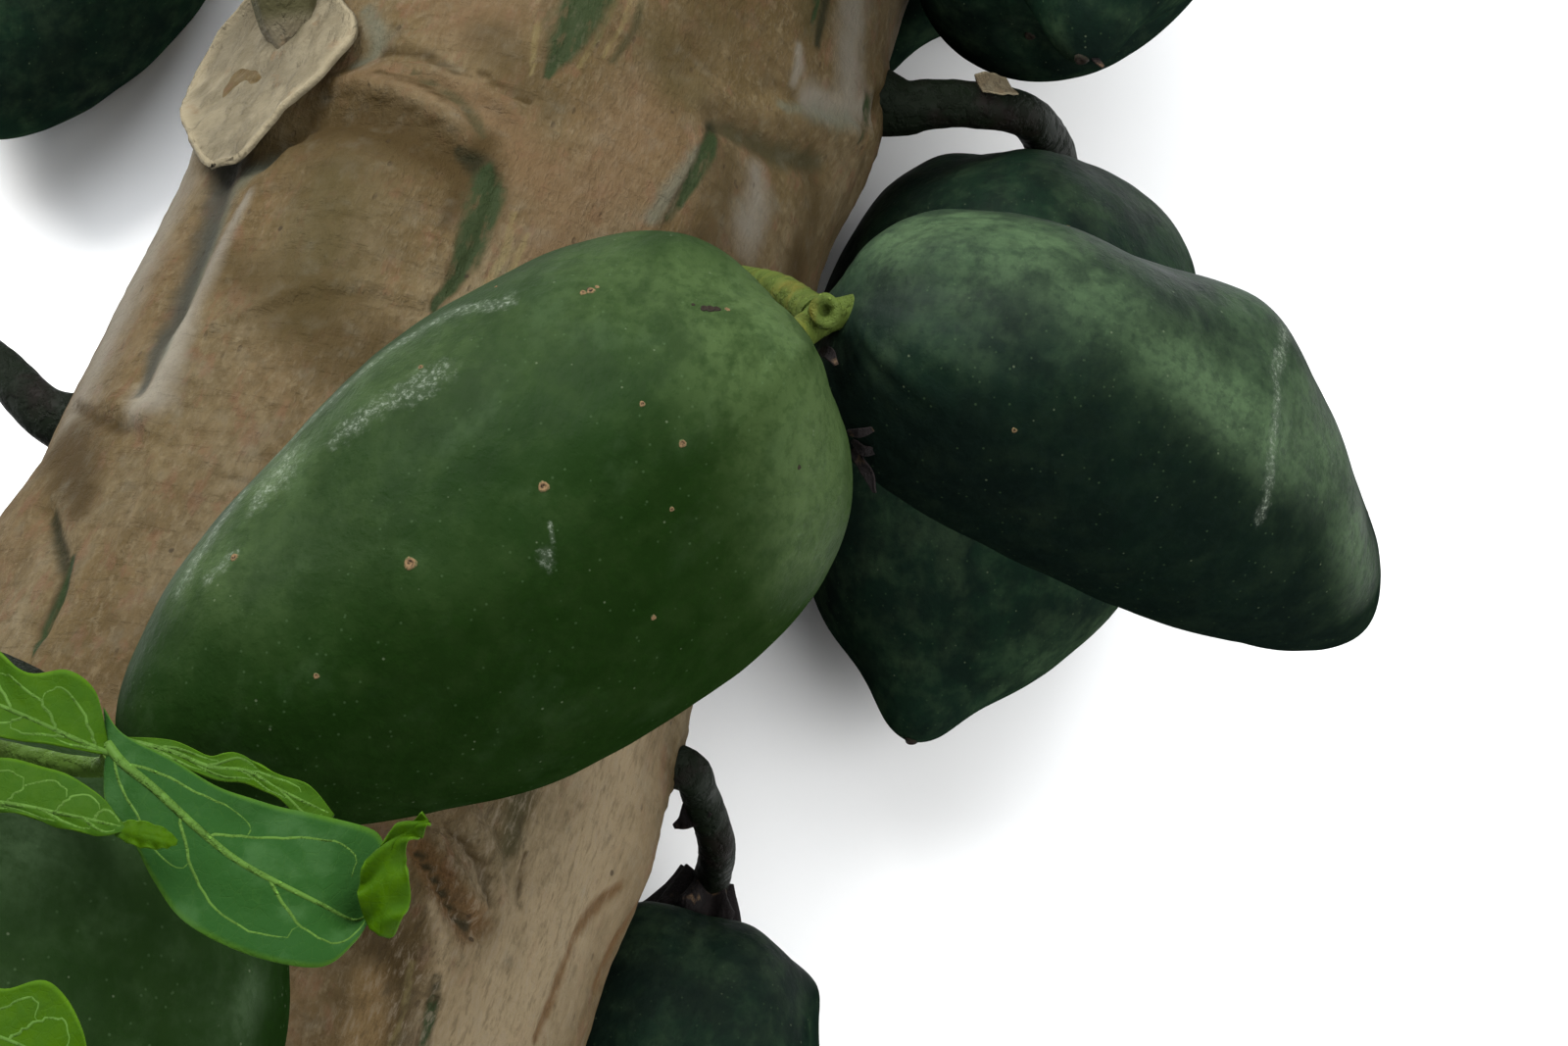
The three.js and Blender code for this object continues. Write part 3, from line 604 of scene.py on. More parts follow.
# Young shoot, as in the solids
SHOOT_ROOT = (196, -44)
SHOOT_ARCH = ((-78, 172, 268), (-52, 152, 330))
SHOOT_RADII = (6, 4.2, 3.2)
LEAF_STALK_RADII = (2.6, 2.2, 1.6)
LEAF_STALK_DROP = 11
LEAF_STALK_LEAN = 5
LEAF_JOINTS = {"leaf_upper": (36, 151, 364), "leaf_lower": (-4, 128, 361)}

# Leaf lobes: how bright, how far the edges rise for each millimetre from the rib, how many side
# veins, and stations of rib x, y, z, one edge's x, y and the other edge's x, y
LOBES = {
    "leaf_upper": (
        dict(
            tone=0.72, cup=0.12, veins=5,
            stations=(
                (36, 150.5, 364, 34, 153.5, 36, 150.3), (33, 150.4, 365.5, 30, 160, 33.5, 149.4),
                (27, 151, 366.5, 24, 162, 28, 148.5), (20, 152, 367, 17, 159.6, 22, 147.5),
                (13, 153, 366.5, 9.5, 162.8, 15.5, 146.8), (4, 154.2, 364.8, -0.5, 166, 7.5, 147),
                (-9, 155.2, 362.2, -13.5, 167.2, -6, 149), (-21, 156, 360.8, -23, 163, -18.5, 151.6),
                (-28, 157, 360, -28, 157.2, -28, 156.8),
            ),
        ),
        dict(
            tone=0.1, cup=-0.05, veins=3, rib=1.1,
            hollows=((0.84, -0.15, 3.4), (0.55, -0.5, 1.4), (0.5, 0.5, 1.2)),
            stations=(
                (35, 152, 364, 31.5, 158.5, 36.5, 146.7), (39.5, 149, 365, 37, 154.5, 39.5, 141),
                (47, 145.5, 367, 48, 151.5, 46, 136.5), (57, 140.5, 368, 59, 148.5, 53.5, 129.5),
                (65.5, 137, 368, 67.5, 148.4, 62, 123.8), (75, 135, 367, 78, 149, 76, 122),
                (83, 134, 366, 87, 149, 85.5, 123.5), (88, 134.2, 364.6, 90.3, 142, 89.5, 129.5),
                (90.5, 135.6, 364, 90.6, 136.2, 90.6, 135),
            ),
        ),
        dict(
            tone=0.7, cup=0.1, veins=4,
            stations=(
                (37.5, 154, 363, 37.5, 154.6, 38, 153.3), (46, 154, 363.5, 45.2, 156, 46.8, 152),
                (53.5, 153.3, 363, 52.5, 155.3, 54.2, 151.4), (60, 154.6, 362.3, 57.5, 157.2, 61, 152.2),
                (66.3, 153.2, 361.5, 64.7, 155.8, 66.2, 151.8), (73, 152.2, 360.6, 71, 155.6, 72, 149.6),
                (77, 151.7, 360, 76.9, 152, 76.9, 151.4),
            ),
        ),
        dict(
            tone=1.0, cup=-0.3, veins=0, ruffle=1.3,
            stations=(
                (93.6, 131.4, 366, 92, 131.8, 95.2, 132), (93, 136, 369.4, 89, 135.2, 97.2, 136),
                (92, 141, 371.3, 87.8, 139, 96.2, 140.8), (92.2, 145.6, 373, 89, 143.6, 94.2, 145),
                (94.6, 148.6, 374.6, 92, 148.6, 96.2, 148), (97.1, 150.2, 375.5, 95.4, 151.3, 97.6, 149.8),
            ),
        ),
    ),
    "leaf_lower": (
        dict(
            tone=0.62, cup=-0.12, veins=5,
            stations=(
                (-4, 128, 361, -4, 128.7, -3.5, 127.4), (9, 132.4, 365.5, 6.6, 138, 10.3, 130),
                (23, 134.9, 369.5, 19.5, 142.8, 23.7, 133.6), (34.5, 135.2, 372, 31.3, 142.6, 35.5, 133),
                (43, 135.4, 373, 40, 140.2, 43, 133.1), (47.2, 135.4, 373.5, 46.7, 135.7, 47.4, 134.9),
            ),
        ),
        dict(
            tone=0.95, cup=-0.3, veins=0,
            stations=(
                (45.3, 135, 372.5, 44.8, 135.9, 45.6, 134.1), (49.8, 134.6, 375, 48.8, 137, 50.5, 132.6),
                (54.5, 134.7, 376, 54, 136.6, 55, 133), (57.3, 134.7, 375.5, 57.2, 135.1, 57.3, 134.4),
            ),
        ),
        dict(
            tone=0.85, cup=0.12, veins=6,
            stations=(
                (-4, 128, 361, -3.3, 127.7, -4.5, 127.4), (6.5, 113, 363.6, 12, 116.6, 1.4, 110.5),
                (19, 102.6, 365.3, 25, 108.4, 12.6, 96), (31, 98, 366, 35, 104.8, 26.6, 87.6),
                (42, 96.8, 365.7, 43.2, 108, 43.4, 84), (50, 95.4, 364.4, 51, 102.3, 53, 87.9),
                (55.2, 93.4, 363, 55.1, 94, 55.2, 92.8),
            ),
        ),
        dict(
            tone=0.6, cup=0.12, veins=5,
            stations=(
                (-4, 128, 361, -3, 127.6, -5, 127.6), (-10, 110, 364.4, -3, 109, -17, 113),
                (-17, 94, 364.6, -7.5, 90, -26.6, 99), (-24.5, 79.5, 361.8, -17, 75, -32.6, 84),
                (-30, 70, 358, -29.8, 69.9, -30.2, 70.2),
            ),
        ),
        dict(
            tone=0.66, cup=0.12, veins=5,
            stations=(
                (-4, 128, 361, -4.4, 127.2, -4.4, 128.8), (-23, 120.6, 364, -20.6, 113, -24.6, 128.6),
                (-42, 114.8, 361.6, -39, 105.4, -44.6, 123.6), (-60, 109.6, 355.6, -58, 103, -61.8, 115.8),
                (-72, 106, 350, -71.9, 105.8, -72.1, 106.2),
            ),
        ),
    ),
}
LEAF_THICKNESS = 0.5
LOBE_ROWS = 64
LOBE_ACROSS = 21

# Dry scraps of calyx and bract: points of the middle line, width at each, and the way the
# scrap's flat side faces
SCRAPS = (
    (((119, 322, 262), (122, 319, 268), (125, 315, 271)), (1.5, 3, 1), (0.2, -0.4, 0.9)),
    (((131, 309, 249), (134.5, 306.5, 250), (139, 308, 250)), (1.6, 2.6, 0.8), (-0.2, -0.8, 0.5)),
    (((131, 308, 246), (136, 303.5, 246), (139, 300, 243)), (2, 3, 0.8), (-0.2, -0.8, 0.5)),
    (((130, 309, 252), (133, 308, 255), (137, 310, 256)), (1.4, 2.2, 0.7), (-0.2, -0.8, 0.5)),
    (((103, 265, 105), (99.5, 262, 97), (96.5, 261, 93.5)), (9, 6, 1.4), (0.1, -0.4, 0.9)),
    (((158, 444, 232), (160, 441, 234), (162, 439.5, 234)), (1.8, 2, 0.9), (0.3, -0.2, 0.9)),
)
STALK_SCAR = (((119.5, 505.5, 121.8), (124, 507.6, 120), (129, 510.5, 117)), (9, 12, 9), (0, 0.35, 0.94))

# Dried calyx round a stalk's end: the fruit, its height, its spread and how far it leans left
CALYXES = (
    ("fruit_low_right", 14, 16, 0.45), ("fruit_back_right", 5, 12, 0), ("fruit_left", 4, 10, 0),
    ("fruit_top_left", 4, 10, 0), ("fruit_top_right", 4, 10, 0), ("fruit_top_middle", 4, 10, 0),
    ("fruit_top_back", 4, 10, 0), ("fruit_low_left", 3, 9, 0),
)
CALYX_RINGS = (
    (1.0, 0.47), (0.78, 0.54), (0.55, 0.64), (0.34, 0.78), (0.16, 0.92), (0.08, 1.0), (0.0, 1.0),
    (-0.12, 0.85), (-0.2, 0.5),
)

# Camera: where it stands in the plant's frame, which way it heads and how far it looks down
CAMERA_PLACE = (203, 0, 828)
CAMERA_HEADING = -16
CAMERA_DOWN = 63
CAMERA_LENS = 65
CAMERA_SENSOR = 36


def colour_setting(name, description, default):
    return bpy.props.FloatVectorProperty(
        name=name, description=description, default=default, size=3, min=0.0, max=1.0, subtype="COLOR")


def power_setting(name, description, default):
    return bpy.props.FloatProperty(
        name=name, description=description, default=default, min=0.0, unit="POWER")


class StemSettings(bpy.types.PropertyGroup):
    """Sizes and colours of the stem."""

    relief: bpy.props.FloatProperty(
        name="Bark relief", description="How deep the bark's folds and ridges are, as a share",
        default=1.0, min=0.0, max=2.0, subtype="FACTOR")
    tan: colour_setting("Tan bark", "The bark's main colour", (0.074, 0.053, 0.023))
    pink: colour_setting("Pink bark", "Warmer patches of the bark", (0.078, 0.052, 0.025))
    grey: colour_setting("Grey bark", "Cooler, paler patches of the bark", (0.128, 0.105, 0.064))
    green: colour_setting("Green slits", "Young tissue where the bark has split", (0.014, 0.023, 0.008))


class FruitSettings(bpy.types.PropertyGroup):
    """Colours of the fruits and the number of their corky spots."""

    deep_green: colour_setting("Deep green", "Shaded patches of the skin", (0.0062, 0.0180, 0.0030))
    middle_green: colour_setting("Middle green", "The skin's main colour", (0.0094, 0.0218, 0.0047))
    # Also the colour of the pale bloom and painted sheen on the front fruit
    light_green: colour_setting(
        "Light green", "Where the skin begins to ripen near the stalk", (0.042, 0.068, 0.023))
    # The next two greens are painted shade: the side and back fruits that lie in shadow take them
    shade_blue_green: colour_setting("Blue green", "Skin under a thin wax bloom", (0.0056, 0.0155, 0.0086))
    shade_dark_green: colour_setting("Dark green", "The darkest skin", (0.0046, 0.0090, 0.0070))
    # Also the colour of the pale bloom and painted sheen on the other fruits
    bloom_and_sheen_green: colour_setting("Bloom", "Pale wax bloom over the green", (0.059, 0.098, 0.046))
    spots: bpy.props.IntProperty(
        name="Corky spots", description="Scattered spots on each fruit", default=4, min=0, max=60)
    spot_seed: bpy.props.IntProperty(
        name="Seed", description="Changes where the scattered spots are", default=4, min=0)


class StalkSettings(bpy.types.PropertyGroup):
    """Shape and colours of the stalks."""

    sides: bpy.props.IntProperty(
        name="Sides", description="Faces round each stalk", default=28, min=8, max=64)
    wrinkle: bpy.props.FloatProperty(
        name="Wrinkles", description="Height of the wrinkles along a stalk", default=0.0011,
        min=0.0, max=0.01, subtype="DISTANCE", unit="LENGTH")
    green: colour_setting("Stalk green", "The stalks' main colour", (0.0042, 0.0066, 0.0034))
    brown: colour_setting("Stalk brown", "Corky patches of the stalks", (0.0064, 0.0048, 0.0038))


class LeafSettings(bpy.types.PropertyGroup):
    """Colours of the leaves and the dried leaf base."""

    bright: colour_setting("Bright leaf", "Young lobes with light through them", (0.023, 0.056, 0.0002))
    dark: colour_setting("Dark leaf", "The broad lobe's upper side", (0.010, 0.038, 0.007))
    vein: colour_setting("Veins", "The ribs and veins", (0.046, 0.098, 0.015))
    dried: colour_setting("Dried base", "The dried leaf base's main colour", (0.135, 0.115, 0.074))


class StageSettings(bpy.types.PropertyGroup):
    """The floor and the light."""

    floor_colour: colour_setting("Floor", "The floor's colour", (0.93, 0.94, 0.95))
    key_power: power_setting("Key light", "Power of the large soft light", 50.0)
    sky: bpy.props.FloatProperty(
        name="Sky", description="Strength of the light from all round", default=0.45, min=0.0)
    overhead_power: power_setting("Overhead light", "Power of the wide soft light above", 60.0)
    side_power: power_setting("Side light", "Power of the soft light from the right", 32.0)


def to_row(points):
    """Points of the plant's frame, in millimetres, as points of the row frame, in metres."""
    low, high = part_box("trunk")
    origin = (STEM_AXIS_X, (low.y + high.y) / 2 - STEM_MIDDLE_Y * MM, 0.0)
    return np.asarray(points, float) * MM + origin


def unit(values):
    values = np.asarray(values, float)
    return values / np.maximum(np.linalg.norm(values, axis=-1, keepdims=True), 1e-12)


def wrap(angle):
    return (np.asarray(angle, float) + 540) % 360 - 180


def turns(count):
    """Evenly spaced turns once round, in radians."""
    return np.linspace(0, 2 * math.pi, count, endpoint=False)


def rough(points, size, seed=0.0):
    """Smooth noise from -1 to 1 at each point, with lumps of about the given size."""
    flat = np.asarray(points, float).reshape(-1, 3) / size + seed * 7.3
    values = np.array([noise.noise(p) for p in flat.tolist()])
    return values.reshape(np.shape(points)[:-1])


def padded(rows):
    """The rows with one more before and after them, each a mirror of its neighbour."""
    rows = np.asarray(rows, float)
    return np.vstack([2 * rows[0] - rows[1], rows, 2 * rows[-1] - rows[-2]])


def through(values, count):
    """A smooth run of count rows through rows of numbers, evenly spaced from row to row."""
    place = np.linspace(0, len(values) - 1, count)
    start = np.minimum(place.astype(int), len(values) - 2)
    t = (place - start)[:, None]
    a, b, c, d = (padded(values)[start + i] for i in range(4))
    square = (2 * a - 5 * b + 4 * c - d) * t**2
    return 0.5 * (2 * b + (c - a) * t + square + (3 * b - a - 3 * c + d) * t**3)


def run_lengths(points):
    """How far along its line each point is."""
    return np.concatenate([[0], np.cumsum(np.linalg.norm(np.diff(points, axis=0), axis=1))])


def curve_through(points, count):
    """Evenly spaced points on the centripetal curve through the given points."""
    given = padded(points)
    out = []
    for i in range(len(given) - 3):
        a, b, c, d = given[i:i + 4]
        ab, bc, cd = (math.sqrt(np.linalg.norm(q - p)) for p, q in ((a, b), (b, c), (c, d)))
        leave = ((b - a) / ab - (c - a) / (ab + bc) + (c - b) / bc) * bc
        arrive = ((c - b) / bc - (d - b) / (bc + cd) + (d - c) / cd) * bc
        t = np.linspace(0, 1, CURVE_STEPS, endpoint=False)[:, None]
        out.append((2 * t**3 - 3 * t**2 + 1) * b + (t**3 - 2 * t**2 + t) * leave
                   + (3 * t**2 - 2 * t**3) * c + (t**3 - t**2) * arrive)
    line = np.vstack(out + [given[-2:-1]])
    length = run_lengths(line)
    wanted = np.linspace(0, length[-1], count)
    return np.stack([np.interp(wanted, length, column) for column in line.T], 1)


def spokes(turn, out, side):
    """The directions at the given turns round the axis that out and side stand on."""
    return np.cos(turn)[..., None] * out + np.sin(turn)[..., None] * side


def ring_shape(rings, fields=None, kinds=None):
    """A closed shape through rings of points, each end closed to a pole.

    fields holds a number for each ring point, and kinds a material number for each ring.
    """
    count, around = rings.shape[:2]
    points = np.vstack([rings.reshape(-1, 3), rings[:1].mean(1), rings[-1:].mean(1)])
    spots = np.arange(around)
    turned = (spots + 1) % around
    starts = np.arange(count - 1)[:, None] * around
    near, beside = starts + spots, starts + turned
    quads = np.stack([near, beside, beside + around, near + around], -1).reshape(-1, 4)
    last = (count - 1) * around
    pole = np.full(around, count * around)
    start = np.stack([pole, turned, spots], 1)
    end = np.stack([pole + 1, last + spots, last + turned], 1)
    tris = np.vstack([start, end])
    split = np.vstack([quads[:, [0, 1, 2]], quads[:, [0, 2, 3]], tris])
    a, b, c = (points[split[:, k]] for k in range(3))
    if np.einsum("ij,ij->i", a, np.cross(b, c)).sum() < 0:
        quads = quads[:, ::-1]
        tris = tris[:, ::-1]
    kinds = np.zeros(count, int) if kinds is None else kinds
    face_kinds = np.concatenate([np.repeat(kinds[:-1], around), np.repeat(kinds[[0, -1]], around)])
    values = {}
    for name, field in (fields or {}).items():
        field = np.broadcast_to(field, (count, around))
        values[name] = np.concatenate([field.ravel(), [field[0].mean(), field[-1].mean()]])
    return points, quads.tolist() + tris.tolist(), face_kinds, values


def plate_shape(surface, thickness, fields=None):
    """A thin closed shape round a grid of points (row, across, xyz)."""
    along = np.gradient(surface, axis=0)
    across = np.gradient(surface, axis=1)
    lift = unit(np.cross(along, across)) * (0.5 * thickness)
    rings = np.concatenate([surface + lift, (surface - lift)[:, ::-1]], 1)
    both = {}
    for name, field in (fields or {}).items():
        field = np.broadcast_to(field, surface.shape[:2])
        both[name] = np.concatenate([field, field[:, ::-1]], 1)
    return ring_shape(rings, both)


def mesh_object(name, points, edges, faces, fields):
    """A mesh of points in millimetres, with fields of numbers or directions at the points."""
    mesh = bpy.data.meshes.new(name)
    mesh.from_pydata(to_row(points).tolist(), edges, faces)
    for field, values in fields.items():
        values = np.asarray(values, np.float32)
        kind, key = ("FLOAT", "value") if values.ndim == 1 else ("FLOAT_VECTOR", "vector")
        mesh.attributes.new(field, kind, "POINT").data.foreach_set(key, values.ravel())
    return add_item(name, mesh)


def add_item(name, data):
    item = bpy.data.objects.new(name, data)
    bpy.context.scene.collection.objects.link(item)
    return item


def make_object(name, shapes, materials):
    """One smooth mesh object in the row frame from several closed shapes."""
    points, faces, kinds, fields = [], [], [], {}
    start = 0
    for shape in shapes:
        points.append(shape[0])
        faces += [[corner + start for corner in face] for face in shape[1]]
        kinds.append(shape[2])
        start += len(shape[0])
    for field in dict.fromkeys(key for shape in shapes for key in shape[3]):
        columns = [shape[3].get(field, np.zeros(len(shape[0]))) for shape in shapes]
        fields[field] = np.concatenate(columns)
    item = mesh_object(name, np.vstack(points), [], faces, fields)
    for material in materials:
        item.data.materials.append(material)
    item.data.polygons.foreach_set("material_index", np.concatenate(kinds).astype(np.int32))
    item.data.shade_smooth()
    item.data.update()
    return item


def dress(item, slot, *nodes):
    """The piece rides on the part's one body and stands for the solids; its slot is not used."""
    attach(item, "root")
    if nodes:
        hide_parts(*nodes)
    return item


def stem_radius(y):
    return STEM_RADIUS - STEM_TAPER * y


def stem_point(y, angle, outside):
    reach = stem_radius(y) + outside
    turn = np.radians(angle)
    return np.stack(np.broadcast_arrays(
        reach * np.sin(turn), y, STEM_REST_HEIGHT + stem_radius(y) + reach * np.cos(turn)), -1)


def rooted(place):
    """The two points that lead a limb out of the stem, one sunk in it and one over it."""
    return [stem_point(*place, outside) for outside in (-STALK_SUNK, STALK_SUNK)]


def lower_scars():
    """The leaf scars that wind round the stem, except on its upper side."""
    scars = []
    for i in range(1, (STEM_HIGH_CUT - STEM_LOW_CUT) // SCAR_PITCH):
        y = STEM_LOW_CUT + i * SCAR_PITCH
        angle = wrap(i * SCAR_TURN)
        if not (abs(angle) < UPPER_SIDE_ANGLE and UPPER_SIDE_Y[0] < y < UPPER_SIDE_Y[1]):
            scars.append((y, angle))
    return scars


def nearness(y, angle, points):
    """How many half widths each place is from a line of points (y, angle, half width)."""
    points = np.array(points, float)
    middle = points[:, 1].mean()
    u = np.radians(wrap(angle - middle)) * STEM_RADIUS
    line_u = np.radians(points[:, 1] - middle) * STEM_RADIUS
    best = np.full(np.shape(y), 1e3)
    for i in range(len(points) - 1):
        du = line_u[i + 1] - line_u[i]
        dv = points[i + 1, 0] - points[i, 0]
        t = np.clip(((u - line_u[i]) * du + (y - points[i, 0]) * dv) / (du * du + dv * dv), 0, 1)
        away = np.hypot(u - line_u[i] - t * du, y - points[i, 0] - t * dv)
        width = points[i, 2] + t * (points[i + 1, 2] - points[i, 2])
        best = np.minimum(best, away / width)
    return best


def bark_form(y, angle):
    """The bark's height over the smooth stem, in millimetres, and its fields of marks, painted light and
    shade among them.
    """
    place = stem_point(y, angle, 0)
    swell = np.zeros(np.shape(y))
    for scar_y, scar_angle in list(UPPER_SCARS) + lower_scars():
        across = np.radians(wrap(angle - scar_angle)) * STEM_RADIUS / SCAR_HALF_WIDTH
        reach = across**2 + ((y - scar_y) / SCAR_HALF_LENGTH) ** 2
        swell = np.maximum(swell, np.where(reach < 1, SCAR_RISE * (1 - np.minimum(reach, 1)) ** 2, 0))
    stains_and_painted_light = {name: np.zeros(np.shape(y)) for name in STAIN_AND_PAINTED_LIGHT_COLOURS}

    def stain_and_painted_light(name, points, strength=1.0):
        mark = np.clip(1 - 0.5 * nearness(y, angle, points), 0, 1) * strength
        stains_and_painted_light[name] = np.maximum(stains_and_painted_light[name], mark)

    folds = np.zeros(np.shape(y))
    for height, width, points in FOLDS:
        folds += height * np.exp(-nearness(y, angle, [(*p, width) for p in points]) ** 2)
    for name, lines in STAINS_AND_PAINTED_LIGHT.items():
        for points in lines:
            stain_and_painted_light(name, points)
    draw = np.random.default_rng(11)
    for scar_y, scar_angle in lower_scars():
        u = np.radians(wrap(angle - scar_angle)) * STEM_RADIUS
        v = y - scar_y
        ring = np.hypot(u / 23, v / 27)
        upper = np.clip((v + 12) / 18, 0, 1)
        folds += 1.5 * upper * np.exp(-((ring - 1) / 0.13) ** 2)
        folds -= 1.2 * upper * np.exp(-((ring - 0.78) / 0.14) ** 2)
        stains_and_painted_light["brown"] = np.maximum(stains_and_painted_light["brown"], 0.8 * upper * np.exp(-((ring - 0.8) / 0.2) ** 2))
        side = draw.choice((-1, 1))
        lean = draw.uniform(-2, 3)
        tall = draw.uniform(16, 34)
        foot = (scar_y - tall * 0.6, scar_angle + side * (15 + lean), 1)
        middle = (scar_y + 6, scar_angle + side * 14, draw.uniform(2, 4.4))
        head = (scar_y + tall * 0.5, scar_angle + side * 12, 1.6)
        stain_and_painted_light("green", (foot, middle, head), draw.uniform(0.7, 1))
        folds -= 0.9 * np.exp(-nearness(y, angle, (foot, middle, head)) ** 2)
    for root_y, root_angle in [s[1][:2] for s in STALKS.values()] + [FORK_ROOT, SHOOT_ROOT]:
        away = np.hypot(np.radians(wrap(angle - root_angle)) * STEM_RADIUS, y - root_y)
        folds += 2.4 * np.exp(-((away / 15) ** 2)) + 0.35 * np.cos(away * 1.1) * np.exp(-((away / 20) ** 2))
        stains_and_painted_light["brown"] = np.maximum(stains_and_painted_light["brown"], 0.75 * np.exp(-((away / 17) ** 2)))
    texture = 0.9 * rough(place, 46) + 0.5 * rough(place * (1, 0.5, 1), 17, 1)
    texture += 0.22 * rough(place * (1, 0.4, 1), 5.5, 2) + 0.16 * rough(place, 3.2, 3)
    texture += 0.22 * rough(place * (1, 2.4, 1), 9, 4)
    corky = 0.25 * np.clip(rough(place, 60, 9) * 2, 0, 1)
    for strength, points in CORKY:
        corky = np.maximum(corky, strength * np.clip(1.5 - 0.8 * nearness(y, angle, points), 0, 1))
    stains_and_painted_light["corky"] = corky
    texture += corky * (0.5 * rough(place * (1, 0.5, 1), 4, 5) + 0.5 * rough(place * (1, 0.7, 1), 7, 6))
    return swell + folds + texture, stains_and_painted_light


def fruit_axes(fruit):
    neck, tip, bulge = (np.array(fruit[key], float) for key in ("neck", "tip", "bulge"))
    length = np.linalg.norm(tip - neck)
    axis = (tip - neck) / length
    swing = np.linalg.norm(bulge)
    out = unit(bulge - bulge @ axis * axis)
    return neck, axis, out, np.cross(out, axis), length, swing


def fruit_rings(name, fruit, rows, around):
    """Rings of a fruit's skin in the plant's frame, with how far along each ring is."""
    neck, axis, out, side, length, swing = fruit_axes(fruit)
    polar = np.linspace(0, math.pi, rows + 2)[1:-1, None]
    turn = turns(around)[None]
    rise = np.abs(np.cos(polar))
    neck_side = np.cos(polar) > 0
    neck_part = FRUIT_WIDEST * (1 - rise ** (2 / FRUIT_SHOULDER))
    along = np.where(neck_side, neck_part, FRUIT_WIDEST + (1 - FRUIT_WIDEST) * rise)
    fullness = np.sin(polar) ** np.where(neck_side, 2 / FRUIT_SHOULDER, 2 / fruit["point"])
    furrow = 1 + fruit["lobe"] * np.cos(FRUIT_LOBES * turn) * (1 - FRUIT_LOBE_FADE * along)
    pinch = 1 - fruit.get("pinch", 0) * np.exp(-(((along - 0.93) / 0.07) ** 2))
    reach = 0.5 * fruit["girth"] * fullness * furrow * pinch
    shift = np.where(
        neck_side, fruit.get("dimple", NECK_DIMPLE_DEPTH) * np.exp(-((reach / NECK_DIMPLE_RADIUS) ** 2)),
        -TIP_ROUNDING * np.exp(-((reach / TIP_ROUNDING_RADIUS) ** 2)))
    shift = shift + fruit.get("tip_reach", 0) * np.clip(along / 0.35 - 1.86, 0, 1) ** 1.5
    bend = swing * 4 * along * (1 - along)
    spine = neck + bend[..., None] * out + (length * along + shift)[..., None] * axis

    def skin(extra):
        return spine + (reach + extra)[..., None] * spokes(turn, out, -side)

    plain = skin(np.zeros(np.shape(reach)))
    steady = np.clip(reach / 14, 0, 1)
    seed = sum(map(ord, name)) % 17
    relief = 0.8 * rough(plain, 40, seed) + 0.5 * rough(plain, 16, seed + 1)
    relief += 0.1 * rough(plain, 6, seed + 2)
    shoulder = np.exp(-((along / 0.13) ** 2))
    relief += 1.3 * shoulder * np.cos(FRUIT_LOBES * turn + 0.5 * rough(plain, 30, seed + 3))
    flat = np.stack(np.broadcast_arrays(turn * 3, along * 2, 0 * reach), -1)
    relief += 0.7 * shoulder * rough(flat, 0.5, seed)
    for point, radius, height in DENTS.get(name, ()):
        relief += height * np.exp(-((np.linalg.norm(plain - point, axis=-1) / radius) ** 2))
    rings = skin(relief * steady)
    if fruit.get("rests"):
        rings[..., 2] -= rings[..., 2].min()
    return rings, np.broadcast_to(along, reach.shape)


def neck_point(fruit, outside):
    """A point on the fruit's axis by its neck, with the fruit set down where it rests."""
    neck, axis = fruit_axes(fruit)[:2]
    point = neck + axis * (NECK_DIMPLE_DEPTH - outside)
    if fruit.get("rests"):
        plain = fruit_rings("plain", {**fruit, "rests": False}, 40, 40)[0]
        point[2] -= plain[..., 2].min()
    return point


def skin_facing(rings):
    """The way the skin faces at each ring point."""
    facing = unit(np.cross(np.gradient(rings, axis=1), np.gradient(rings, axis=0)))
    outward = rings - rings.mean(1, keepdims=True)
    return facing * np.sign(np.einsum("ijk,ijk->ij", facing, outward))[..., None]


def on_skin(rings, facing, point):
    """The place on the skin by a point, and the way the skin faces there."""
    away = np.linalg.norm(rings - point, axis=-1)
    row, spot = np.unravel_index(away.argmin(), away.shape)
    way = facing[row, spot]
    return np.array(point) - way * ((point - rings[row, spot]) @ way), way


def streak_runs(name, rings, step=6):
    """The milk streaks of a fruit, a painted rim highlight among them, as short straight runs on its skin:
    half width, start, end.
    """
    runs = []
    facing = skin_facing(rings)
    for width, points in MILK_AND_RIM_LIGHT_STREAKS.get(name, ()):
        for start, end in zip(points, points[1:]):
            pieces = max(1, round(math.dist(start, end) / step))
            places = [on_skin(rings, facing, place)[0] for place in np.linspace(start, end, pieces + 1)]
            runs += [(width, tuple(a), tuple(b)) for a, b in zip(to_row(places), to_row(places[1:]))]
    return runs


